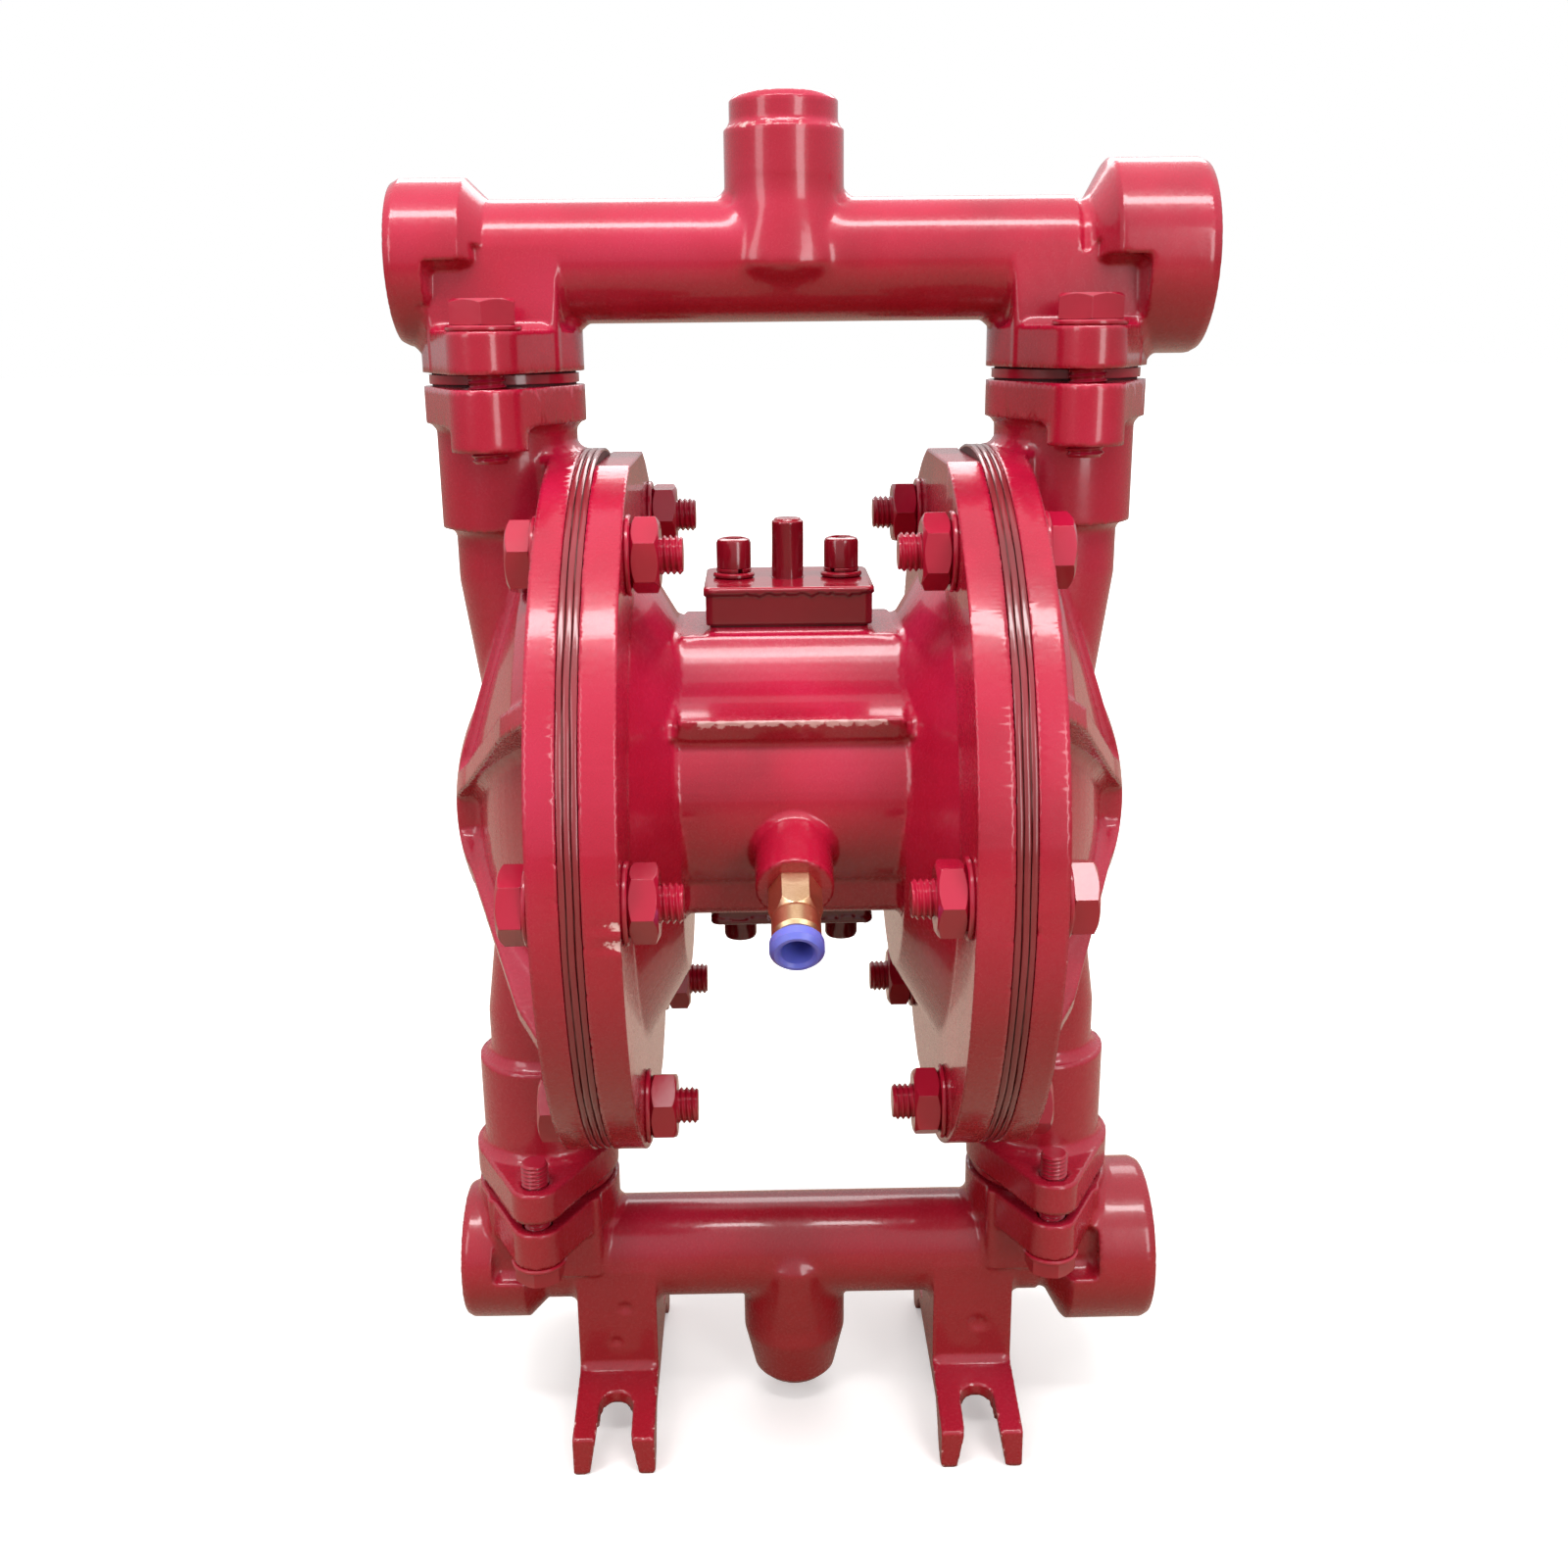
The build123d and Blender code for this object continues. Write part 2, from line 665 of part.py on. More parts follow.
def inlet_manifold():
    near = pipe_drop + lower_flange_top
    pipe = mirror(
        manifold_pipe(near, lower_joint_flange, lower_ear_radius, joint_flange_radius - 5),
        Plane.XY,
    )
    tip = -bottom_boss_depth
    foot = bottom_boss_tip_radius + bottom_boss_edge
    boss = turned_z([
        (0, 0),
        (bottom_boss_radius, 0),
        (bottom_boss_radius, -bottom_boss_taper),
        (foot, tip + bottom_boss_edge),
        (bottom_boss_tip_radius, tip),
        (0, tip),
    ])
    boss += loft([
        Pos(0, 0, nose_level) * Ellipse(nose_half_width, nose_reach),
        Pos(0, 0, nose_tip_level) * Ellipse(nose_tip_half_width, nose_tip_reach),
    ])
    boss += loft([
        Pos(0, 0, -bottom_boss_taper) * Circle(bottom_boss_radius - boss_wrap),
        Pos(0, 0, nose_level) * Ellipse(nose_half_width, nose_reach),
    ])
    pipe += boss
    for x in (-leg_x, leg_x):
        pipe += Pos(x, 0, 0) * leg()
    pipe -= rod_x(pipe_bore, -left_end - 1, pipe_wall_end)
    for x in (-riser_x, riser_x):
        pipe -= rod_z(riser_bore, 0, near + 1, x)
        for y in (-joint_bolt_pitch / 2, joint_bolt_pitch / 2):
            hole = m8_radius + bolt_hole_clearance
            pipe -= rod_z(hole, near - lower_joint_flange - 1, near + 1, x, y)
    return Pos(0, 0, -pipe_drop) * pipe


def diaphragm():
    # clamped rim, rolled convolution and flat centre disc of one rubber sheet
    rim = roll_outer_radius
    half_rim, half = diaphragm_rim / 2, diaphragm_centre / 2
    sheet = turned_x([
        (inner_joint, rim), (inner_joint, flange_radius),
        (outer_joint, flange_radius), (outer_joint, rim),
    ])
    roll_middle = (roll_inner_radius + rim) / 2
    outer_roll = ThreePointArc(
        (disc_middle - half, roll_inner_radius), (disc_middle - half - roll_height, roll_middle),
        (disc_middle - half_rim, rim),
    )
    inner_roll = ThreePointArc(
        (disc_middle + half, roll_inner_radius), (disc_middle + half - roll_height, roll_middle),
        (disc_middle + half_rim, rim),
    )
    ends = [
        Line(outer_roll @ 0, inner_roll @ 0),
        Line(outer_roll @ 1, inner_roll @ 1),
    ]
    sheet += revolve(make_face([outer_roll, inner_roll, *ends]), Axis.X)
    sheet += turned_x([
        (disc_middle - half, stub_radius), (disc_middle - half, roll_inner_radius),
        (disc_middle + half, roll_inner_radius), (disc_middle + half, stub_radius),
    ])
    return sheet - flange_holes(inner_joint - 1, outer_joint + 1)


def plate(face, thickness, away):
    # dished clamp plate; away is +1 where its back looks outwards
    back = face + away * thickness
    rim = face + away * thickness * 0.45
    return turned_x([
        (face, stub_radius), (face, plate_radius - 1), (face + away, plate_radius),
        (rim, plate_radius), (back, plate_hub_radius), (back, stub_radius),
    ])


def shaft():
    core = rod_x(shaft_radius, -shaft_end, shaft_end)
    reach = nut_seat + shaft_nut_height + stub_show
    return core + rod_x(stub_radius, -reach, reach)


def ring_x(outer, inner, low, high, y=0.0, z=0.0):
    return rod_x(outer, low, high, y, z) - rod_x(inner, low - 1, high + 1, y, z)


def ring_z(outer, inner, low, high, x=0.0, y=0.0):
    return rod_z(outer, low, high, x, y) - rod_z(inner, low - 1, high + 1, x, y)


def chamber_fasteners():
    # bolts enter from the outer cover, the nuts are on the centre body side
    bolts, washers, nuts = [], [], []
    head_seat = outer_face + washer_thickness
    nut_seat_x = inner_flange_face - washer_thickness
    washer_bore = m10_radius + washer_bore_clearance
    for y, z, angle in chamber_bolt_places():
        turn = 15 * sin(3 * angle)
        out = Plane(origin=(head_seat, y, z), x_dir=(0, cos(angle), -sin(angle)), z_dir=(1, 0, 0))
        head = out.location * Rot(0, 0, turn) * chamfered_hex(m10_flats, m10_head)
        bolts.append(head + rod_x(m10_radius, thread_end_x, head_seat, y, z))
        washers.append(ring_x(m10_washer_radius, washer_bore, outer_face, head_seat, y, z))
        washers.append(ring_x(m10_washer_radius, washer_bore, nut_seat_x, inner_flange_face, y, z))
        back = Plane(origin=(nut_seat_x, y, z), x_dir=(0, 1, 0), z_dir=(-1, 0, 0))
        nut = back.location * Rot(0, 0, 20 - turn) * chamfered_hex(m10_flats, m10_nut)
        nuts.append(nut - rod_x(m10_radius + tapped_clearance, 0, outer_face, y, z))
    return bolts, washers, nuts


def manifold_fasteners(upper):
    # hexagon bolts that pass the manifold flange and screw into the tapped cover ears
    if upper:
        radius, flats, head, ring = m10_radius, manifold_m10_flats, m10_head, manifold_m10_washer_radius
        seat, tip, sign = upper_flange_top, cover_top - upper_ear_depth - thread_show, 1
    else:
        radius, flats, head, ring = m8_radius, m8_flats, m8_head, m8_washer_radius
        seat, tip, sign = lower_flange_bottom, -cover_bottom + lower_ear_depth + thread_show, -1
    bolts, washers = [], []
    for x in (-riser_x, riser_x):
        for y in (-joint_bolt_pitch / 2, joint_bolt_pitch / 2):
            head_seat = seat + sign * washer_thickness
            turn = 6 if x * y > 0 else -9
            cap = Rot(0 if upper else 180, 0, 0) * chamfered_hex(flats, head)
            low, high = sorted((tip, head_seat))
            bolts.append(Pos(x, y, head_seat) * Rot(0, 0, turn) * cap + rod_z(radius, low, high, x, y))
            low, high = sorted((seat, head_seat))
            washers.append(ring_z(ring, radius + washer_bore_clearance, low, high, x, y))
    return bolts, washers


def seats(low):
    # seat ring between two gaskets, for both risers
    rings, gaskets = [], []
    for x in (-riser_x, riser_x):
        seat_low = low + gasket_thickness
        seat_high = seat_low + seat_thickness
        rings.append(ring_z(seat_radius, seat_bore, seat_low, seat_high, x))
        gaskets.append(ring_z(seat_radius - 0.8, gasket_bore, low, seat_low, x))
        gaskets.append(ring_z(seat_radius - 0.8, gasket_bore, seat_high, seat_high + gasket_thickness, x))
    return rings, gaskets


def valve_cap(upper):
    face = cap_top_seat if upper else cap_bottom_seat
    sign = 1 if upper else -1
    cap = extrude(Pos(0, 0, face) * cap_outline(0), sign * cap_thickness)
    low, high = sorted((face - sign, face + sign * (cap_thickness + 1)))
    for x in (-cap_screw_x, cap_screw_x):
        cap -= rod_z(cap_screw_radius + bolt_hole_clearance, low, high, x)
    if upper:
        cap -= rod_z(pin_radius + running_clearance, cap_top_face - pin_well_depth, high)
        cap -= rod_z(pin_stem_radius + running_clearance, low, high)
    return cap


def cap_gasket(upper):
    low = cap_top_seat - gasket_thickness if upper else cap_bottom_seat
    sheet = extrude(Pos(0, 0, low) * cap_outline(cap_pad_inset), gasket_thickness)
    for x in (-cap_screw_x, cap_screw_x):
        sheet -= rod_z(cap_screw_radius + bolt_hole_clearance, low - 1, low + gasket_thickness + 1, x)
    opening = sleeve_radius if upper else lower_chamber_radius
    return sheet - rod_z(opening, low - 1, low + gasket_thickness + 1)


def cap_fasteners(upper):
    # socket screws on a plain washer and a spring lock washer
    screws, washers = [], []
    sign = 1 if upper else -1
    seat = cap_top_face if upper else cap_bottom_face
    head_seat = seat + sign * (cap_washer_thickness + cap_lock_ring)
    washer_bore = cap_screw_radius + washer_bore_clearance
    for x in (-cap_screw_x, cap_screw_x):
        head_end = head_seat + sign * cap_screw_head
        low, high = sorted((head_seat, head_end))
        screw = rod_z(cap_screw_head_radius, low, high, x)
        tip = head_seat - sign * (cap_thickness + cap_washer_thickness + cap_lock_ring)
        low, high = sorted((tip - sign * (cap_screw_grip - 0.5), head_seat))
        screw += rod_z(cap_screw_radius, low, high, x)
        socket_floor = head_end - sign * cap_screw_socket_depth
        socket = Pos(x, 0, socket_floor) * hexagon_prism(
            cap_screw_socket, sign * (cap_screw_socket_depth + 1)
        )
        screws.append(screw - socket)
        low, high = sorted((seat, seat + sign * cap_washer_thickness))
        washers.append(ring_z(cap_washer_radius, washer_bore, low, high, x))
        low, high = sorted((seat + sign * cap_washer_thickness, head_seat))
        washers.append(ring_z(cap_lock_ring_radius, washer_bore, low, high, x))
    return screws, washers


def valve_sleeve():
    sleeve = ring_z(sleeve_radius, spool_radius + running_clearance, sleeve_floor, cap_top_seat)
    for z in (exhaust_passage_z, chamber_passage_z):
        sleeve -= rod_y(chamber_passage_radius, -sleeve_radius - 1, sleeve_radius + 1, 0, z)
    reach = sleeve_radius + 1
    return sleeve - rod_x(chamber_passage_radius, -reach, reach, 0, chamber_passage_z)


def spool_groove_heights():
    low = sleeve_floor + contact_gap
    return [low + spool_length * share for share in (0.12, 0.5, 0.88)]


def valve_spool():
    low = sleeve_floor + contact_gap
    spool = rod_z(spool_radius, low, low + spool_length)
    waist = spool_radius - spool_groove_depth
    for share in (0.2, 0.58):
        start = low + spool_length * share
        spool -= ring_z(spool_radius + 1, waist, start, start + spool_land_gap * spool_length)
    for z in spool_groove_heights():
        half = spool_ring_section / 2
        spool -= ring_z(spool_radius + 1, spool_radius - spool_ring_section, z - half, z + half)
    return spool


def spool_rings():
    half = spool_ring_section / 2
    return [
        ring_z(spool_radius, spool_radius - spool_ring_section, z - half, z + half)
        for z in spool_groove_heights()
    ]


def reset_pin():
    well_floor = cap_top_face - pin_well_depth
    shoulder = well_floor + pin_travel + 2 * spring_wire
    pin = rod_z(pin_radius, shoulder, pin_top - 0.8)
    pin += rod_z(pin_radius - 0.8, pin_top - 1, pin_top)
    spool_top = sleeve_floor + contact_gap + spool_length + spool_stroke
    return pin + rod_z(pin_stem_radius, spool_top + ball_clearance, shoulder)


def reset_spring():
    low = cap_top_face - pin_well_depth + spring_wire / 2
    high = low - spring_wire + pin_travel + 2 * spring_wire
    coil_radius = (pin_radius + pin_stem_radius) / 2
    path = Pos(0, 0, low) * Helix((high - low) / spring_turns, high - low, coil_radius)
    section = Plane(origin=path @ 0, z_dir=path % 0) * Circle(spring_wire / 2)
    return sweep(section, path)


def pilot_half_length():
    return shaft_end - shaft_stroke + pilot_travel - contact_gap


def pilot_rod():
    half = pilot_half_length()
    return rod_x(pilot_radius, -half, half, pilot_y, pilot_z)


def pilot_bushes():
    bush = ring_x(
        pilot_bush_radius, pilot_radius + running_clearance,
        chamber_floor - pilot_bush_length, chamber_floor, pilot_y, pilot_z,
    )
    return [bush, mirrored_x(bush)]


def fitting_body():
    body = Pos(0, 0, -fitting_thread_length) * Cylinder(
        fitting_thread_radius, fitting_thread_length, align=middle
    )
    body += chamfered_hex(hex_flats, hex_length)
    barrel_end = hex_length + barrel_length
    body += turned_z([
        (0, hex_length - 1), (hex_flats / 2, hex_length - 1), (hex_flats / 2, hex_length),
        (barrel_radius, hex_length + 1), (barrel_radius, barrel_end - 1),
        (barrel_radius - 0.7, barrel_end), (0, barrel_end),
    ])
    socket_floor = barrel_end - collet_sleeve_length - collet_travel - collet_socket_extra
    body -= rod_z(collet_sleeve_radius + running_clearance, socket_floor, barrel_end + 1)
    body -= rod_z(collet_bore, socket_floor - 5, barrel_end)
    return fitting_frame * (body - rod_z(2.8, -fitting_thread_length - 1, barrel_end))


def release_collet():
    barrel_end = hex_length + barrel_length
    low = barrel_end + collet_travel + 0.2
    ring = turned_z([
        (collet_bore, barrel_end - collet_sleeve_length),
        (collet_sleeve_radius, barrel_end - collet_sleeve_length),
        (collet_sleeve_radius, low),
        (collet_flange_radius, low),
        (collet_flange_radius, low + collet_flange_length - 1.2),
        (collet_flange_radius - 1.2, low + collet_flange_length),
        (collet_bore + 0.8, low + collet_flange_length),
        (collet_bore, low + collet_flange_length - 0.8),
    ])
    return fitting_frame * ring


parts = {"centre_body": centre_body()}
both_sides("outer_cover", outer_cover())
parts["discharge_manifold"] = discharge_manifold()
parts["inlet_manifold"] = inlet_manifold()
both_sides("diaphragm", diaphragm())
both_sides("inner_plate", plate(plate_inner_face, inner_plate_thickness, -1))
both_sides("outer_plate", plate(plate_outer_face, outer_plate_thickness, 1))
parts["diaphragm_shaft"] = shaft()
shaft_nut = Pos(nut_seat, 0, 0) * Rot(0, 90, 0) * chamfered_hex(shaft_nut_flats, shaft_nut_height)
both_sides("shaft_nut", shaft_nut - rod_x(stub_radius + tapped_clearance, 0, far))
bush_end = chamber_floor - seal_length
shaft_bore = shaft_radius + running_clearance
both_sides("shaft_bush", ring_x(bush_radius, shaft_bore, bush_inner_end, bush_end))
both_sides("shaft_seal", ring_x(bush_radius, shaft_bore, bush_end, chamber_floor))
for place, low in (("discharge", cover_top), ("suction", lower_flange_top)):
    rings, gaskets = seats(low)
    parts["valve_seats_" + place] = Compound(rings)
    parts["seat_gaskets_" + place] = Compound(gaskets)
both_sides("discharge_ball", Pos(riser_x, 0, upper_ball_z) * Sphere(ball_radius))
both_sides("suction_ball", Pos(riser_x, 0, lower_ball_z) * Sphere(ball_radius))
bolts, washers, nuts = chamber_fasteners()
for name, group in (("bolts", bolts), ("washers", washers), ("nuts", nuts)):
    both_sides("chamber_" + name, Compound(group))
for name, upper in (("discharge", True), ("inlet", False)):
    bolts, washers = manifold_fasteners(upper)
    parts[name + "_bolts"] = Compound(bolts)
    parts[name + "_washers"] = Compound(washers)
for name, upper in (("top", True), ("bottom", False)):
    screws, washers = cap_fasteners(upper)
    parts["valve_cap_" + name] = valve_cap(upper)
    parts["cap_gasket_" + name] = cap_gasket(upper)
    parts["cap_screws_" + name] = Compound(screws)
    parts["cap_washers_" + name] = Compound(washers)
parts["valve_sleeve"] = valve_sleeve()
parts["valve_spool"] = valve_spool()
parts["spool_rings"] = Compound(spool_rings())
parts["reset_pin"] = reset_pin()
parts["reset_spring"] = reset_spring()
parts["pilot_rod"] = pilot_rod()
parts["pilot_bushes"] = Compound(pilot_bushes())
parts["air_fitting_body"] = fitting_body()
parts["release_collet"] = release_collet()

os.makedirs("parts", exist_ok=True)
for name, shape in parts.items():
    export_step(Pos(0, 0, shaft_height) * shape, f"parts/{name}.step")
print(len(parts), "pieces written")
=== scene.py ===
import bmesh
import bpy
import math
from mathutils import Matrix, Vector, noise
from mathutils.bvhtree import BVHTree
from mathutils.kdtree import KDTree


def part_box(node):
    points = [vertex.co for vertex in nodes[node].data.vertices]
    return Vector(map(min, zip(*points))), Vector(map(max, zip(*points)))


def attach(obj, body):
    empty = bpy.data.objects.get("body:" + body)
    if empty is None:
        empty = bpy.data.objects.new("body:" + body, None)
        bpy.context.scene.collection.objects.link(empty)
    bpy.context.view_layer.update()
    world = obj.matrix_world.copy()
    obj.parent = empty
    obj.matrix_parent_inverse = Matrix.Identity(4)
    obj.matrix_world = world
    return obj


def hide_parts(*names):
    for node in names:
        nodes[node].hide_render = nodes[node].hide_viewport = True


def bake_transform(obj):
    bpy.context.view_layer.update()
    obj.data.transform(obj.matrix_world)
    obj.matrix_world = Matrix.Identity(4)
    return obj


# Air operated double diaphragm pump in glossy crimson enamel over rough cast iron.
# Lengths in the dictionaries are millimetres, as in the workshop; mm() turns them to metres.

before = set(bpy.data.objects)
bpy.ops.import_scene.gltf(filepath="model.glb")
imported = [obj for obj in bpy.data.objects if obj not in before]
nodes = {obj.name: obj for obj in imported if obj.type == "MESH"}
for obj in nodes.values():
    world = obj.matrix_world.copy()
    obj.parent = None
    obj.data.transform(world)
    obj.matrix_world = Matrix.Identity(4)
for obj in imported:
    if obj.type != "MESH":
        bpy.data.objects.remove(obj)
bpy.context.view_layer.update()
scene = bpy.context.scene
print("frame loaded:", len(nodes), "nodes")


def mm(value):
    return value / 1000.0


def place(x, y, z):
    # a point in millimetres, z counted from the base plane
    return Vector((mm(x), mm(y), mm(z)))


def cornersMm(nodeName):
    # lowest and highest corner of a CAD node, in millimetres
    low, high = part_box(nodeName)
    return [v * 1000.0 for v in low], [v * 1000.0 for v in high]


def faceMm(nodeName, sign, axis=2):
    # where a node ends, up or to the right for a positive sign
    return cornersMm(nodeName)[1 if sign > 0 else 0][axis]


def reachMm(nodeName):
    # how near to the middle plane x = 0 a node comes, and how far it reaches from it
    return sorted(abs(corner[0]) for corner in cornersMm(nodeName))


shaftMm = 0.5 * sum(corner[2] for corner in cornersMm("diaphragm_shaft"))   # height of the shaft's axis


def linear(hexColour):
    channels = [int(hexColour[i:i + 2], 16) / 255 for i in (1, 3, 5)]
    return tuple(c / 12.92 if c <= 0.04045 else ((c + 0.055) / 1.055) ** 2.4 for c in channels) + (1.0,)


def addNode(tree, kind, settings=None, inputs=None):
    # one node with its properties; an input is another node's output or a fixed value
    node = tree.nodes.new(kind)
    for key, value in (settings or {}).items():
        if key != "stops":
            setattr(node, key, value)
            continue
        while len(node.color_ramp.elements) < len(value):
            node.color_ramp.elements.new(0.5)
        for element, (position, colour) in zip(node.color_ramp.elements, value):
            element.position = position
            element.color = colour
    for key, value in (inputs or {}).items():
        if isinstance(value, Term):
            value = value.socket
        if isinstance(value, bpy.types.NodeSocket):
            tree.links.new(value, node.inputs[key])
        else:
            node.inputs[key].default_value = value
    return node


def first(tree, kind, settings=None, inputs=None):
    # the first output of a new node
    return addNode(tree, kind, settings, inputs).outputs[0]


def calc(tree, operation, *values, clamp=False):
    settings = {"operation": operation, "use_clamp": clamp}
    return Term(tree, first(tree, "ShaderNodeMath", settings, dict(enumerate(values))))


class Term:
    # a node's output that can be reckoned with: each operation adds one math node to its tree
    def __init__(self, tree, socket):
        self.tree, self.socket = tree, socket

    def __add__(self, other):
        return calc(self.tree, "ADD", self, other)

    def __sub__(self, other):
        return calc(self.tree, "SUBTRACT", self, other)

    def __rsub__(self, other):
        return calc(self.tree, "SUBTRACT", other, self)

    def __mul__(self, other):
        return calc(self.tree, "MULTIPLY", self, other)

    def __truediv__(self, other):
        return calc(self.tree, "DIVIDE", self, other)


def newMaterial(name):
    material = bpy.data.materials.new(name)
    material.use_nodes = True
    material.node_tree.nodes.clear()
    return material, material.node_tree


def finishTree(tree, kind, shader, inputs):
    # the last shader node and the output it feeds
    addNode(tree, kind, inputs={"Surface": first(tree, shader, inputs=inputs)})


def finishSurface(tree, relief, values):
    # a surface shader over a bumped normal, and the material's output
    bump = first(tree, "ShaderNodeBump", inputs=relief)
    finishTree(tree, "ShaderNodeOutputMaterial", "ShaderNodeBsdfPrincipled", dict(values, Normal=bump))


def objectCoords(tree):
    return addNode(tree, "ShaderNodeTexCoord").outputs["Object"]


enamelLook = {
    "colour": "#BC1239",        # crimson in even light
    "deep": "#9C0E2C",          # darker tone that the slow clouds and the grain bring up at random
    "faded": "#C8244E",
    "under": "#961D20",         # painted shade: a browner, darker tone standing in for the weaker light on sides and undersides
    "shadeBySlope": (-0.75, 0.28),  # share of that painted shade by how far a face looks up: slope and value on a side
    "lowMm": (30.0, 250.0),     # painted shade low down: it grows from nothing at the upper height to lowShare at the lower one
    "lowShare": 0.6,
    "chip": "#E3B9B4",          # pale primer and bare edge where the coat is knocked off
    "speckle": 0.08,            # how much of the deep tone the grain brings up
    "cloudMm": 45.0,            # size of the slow changes of tone
    "grainMm": 1.3,             # sand-cast grain that shows through the coat
    "peelMm": 3.4,              # orange peel of the sprayed enamel
    "lumpMm": 11.0,             # slow waves of a hand-dressed casting
    "raggedMm": 2.4,            # outline of the chips
    "grain": 0.2,               # shares of the grain, the peel and the waves in the relief
    "peel": 0.45,
    "lumps": 0.9,
    "relief": 0.35,
    "reliefMm": 0.26,
    "chipCrisp": 9.0,           # how sharply a chip ends, how dull it is and how deep
    "chipRough": 0.3,
    "chipDeep": 0.6,
    "roughness": 0.27,
    "specular": 0.4,
    "coat": 0.55,
    "coatRoughness": 0.08,
    "edgeMm": 0.0,              # radius of painted-over edges that is left to the shading
}


def enamelMaterial(name, look):
    # sprayed alkyd enamel over sand-cast iron: wet-looking gloss that follows a slightly lumpy skin
    material, tree = newMaterial(name)
    coords = objectCoords(tree)
    clouds, fine, peel, lumps, ragged = (
        Term(tree, first(tree, "ShaderNodeTexNoise", inputs={
            "Vector": coords, "Scale": 1000.0 / look[size], "Detail": detail, "Roughness": roughness,
        }))
        for size, detail, roughness in (
            ("cloudMm", 3.0, 0.5), ("grainMm", 3.0, 0.6), ("peelMm", 2.0, 0.45), ("lumpMm", 2.0, 0.5),
            ("raggedMm", 3.0, 0.7),
        )
    )
    deep = linear(look["deep"])
    colour = first(tree, "ShaderNodeValToRGB", {
        "stops": [(0.3, deep), (0.5, linear(look["colour"])), (0.8, linear(look["faded"]))],
    }, {"Fac": clouds})

    facing = addNode(tree, "ShaderNodeTexCoord").outputs["Normal"]
    upward = addNode(tree, "ShaderNodeSeparateXYZ", inputs={"Vector": facing}).outputs["Z"]
    # painted shade: faces that look sideways or down, and the lowest parts, turn to the under tone as if less
    # light reached them
    slopeShade = calc(tree, "MULTIPLY_ADD", upward, *look["shadeBySlope"], clamp=True)
    height = addNode(tree, "ShaderNodeSeparateXYZ", inputs={"Vector": coords}).outputs["Z"]
    lowest, highest = look["lowMm"]
    low = first(tree, "ShaderNodeMapRange", inputs={
        "Value": height, "From Min": mm(lowest), "From Max": mm(highest), "To Min": look["lowShare"],
        "To Max": 0.0,
    })
    worn = Term(tree, addNode(tree, "ShaderNodeAttribute", {"attribute_name": "worn"}).outputs["Fac"])
    bare = calc(tree, "MULTIPLY", worn + ragged * 0.9 - 1.0, look["chipCrisp"], clamp=True)
    for share, over in (
        (fine * look["speckle"], deep),
        (calc(tree, "ADD", slopeShade, low, clamp=True), linear(look["under"])),
        (bare, linear(look["chip"])),
    ):
        mixed = addNode(tree, "ShaderNodeMix", {"data_type": "RGBA"}, {0: share, 6: colour, 7: over})
        colour = mixed.outputs[2]
    rough = fine * 0.1 + (look["roughness"] - 0.05) + bare * look["chipRough"]
    height = peel * look["peel"] + fine * look["grain"] + lumps * look["lumps"] - bare * look["chipDeep"]
    relief = {"Strength": look["relief"], "Distance": mm(look["reliefMm"]), "Height": height}
    if look["edgeMm"]:
        relief["Normal"] = first(tree, "ShaderNodeBevel", {"samples": 6}, {"Radius": mm(look["edgeMm"])})
    finishSurface(tree, relief, {
        "Base Color": colour, "Roughness": rough, "IOR": 1.5, "Specular IOR Level": look["specular"],
        "Coat Weight": look["coat"], "Coat Roughness": look["coatRoughness"], "Coat IOR": 1.5,
    })
    return material


def metalMaterial(name, light, dark, roughness, scratchMm, stretch=(1.0, 1.0, 1.0), edgeMm=0.15):
    # machined metal: fine tool marks drawn out along one direction
    material, tree = newMaterial(name)
    coords = objectCoords(tree)
    drawn = first(tree, "ShaderNodeMapping", inputs={"Vector": coords, "Scale": stretch})
    marks, stain = (
        Term(tree, first(tree, "ShaderNodeTexNoise", inputs={
            "Vector": vector, "Scale": 1000.0 / sizeMm, "Detail": detail, "Roughness": rough,
        }))
        for vector, sizeMm, detail, rough in ((drawn, scratchMm, 4.0, 0.6), (coords, 12.0, 2.0, 0.5))
    )
    stops = [(0.35, linear(dark)), (0.65, linear(light))]
    colour = first(tree, "ShaderNodeValToRGB", {"stops": stops}, {"Fac": marks * 0.5 + stain * 0.5})
    eased = first(tree, "ShaderNodeBevel", {"samples": 6}, {"Radius": mm(edgeMm)})
    relief = {"Strength": 0.4, "Distance": mm(0.06), "Height": marks, "Normal": eased}
    finishSurface(tree, relief, {
        "Base Color": colour, "Roughness": marks * 0.18 + (roughness - 0.08), "Metallic": 1.0,
    })
    return material


def mouldedMaterial(name, light, dark, roughness, grainMm, bumpMm=0.08, ior=1.5, subsurface=0.0):
    # moulded plastic or rubber: even colour with a fine matt grain
    material, tree = newMaterial(name)
    coords = objectCoords(tree)
    grain, cloud = (
        Term(tree, first(tree, "ShaderNodeTexNoise", inputs={
            "Vector": coords, "Scale": 1000.0 / sizeMm, "Detail": detail, "Roughness": rough,
        }))
        for sizeMm, detail, rough in ((grainMm, 3.0, 0.6), (14.0, 2.0, 0.5))
    )
    stops = [(0.3, linear(dark)), (0.7, linear(light))]
    colour = first(tree, "ShaderNodeValToRGB", {"stops": stops}, {"Fac": cloud})
    finishSurface(tree, {"Strength": 0.4, "Distance": mm(bumpMm), "Height": grain}, {
        "Base Color": colour, "Roughness": grain * 0.1 + (roughness - 0.05), "IOR": ior,
        "Subsurface Weight": subsurface, "Subsurface Scale": 0.002,
    })
    return material


castEnamel = enamelMaterial("castEnamel", enamelLook)
# the same coat on machined steel: smoother ground, so the gloss is tighter
steelEnamel = enamelMaterial("steelEnamel", dict(
    enamelLook, grainMm=0.9, peelMm=2.6, roughness=0.23, grain=0.12, edgeMm=0.35))
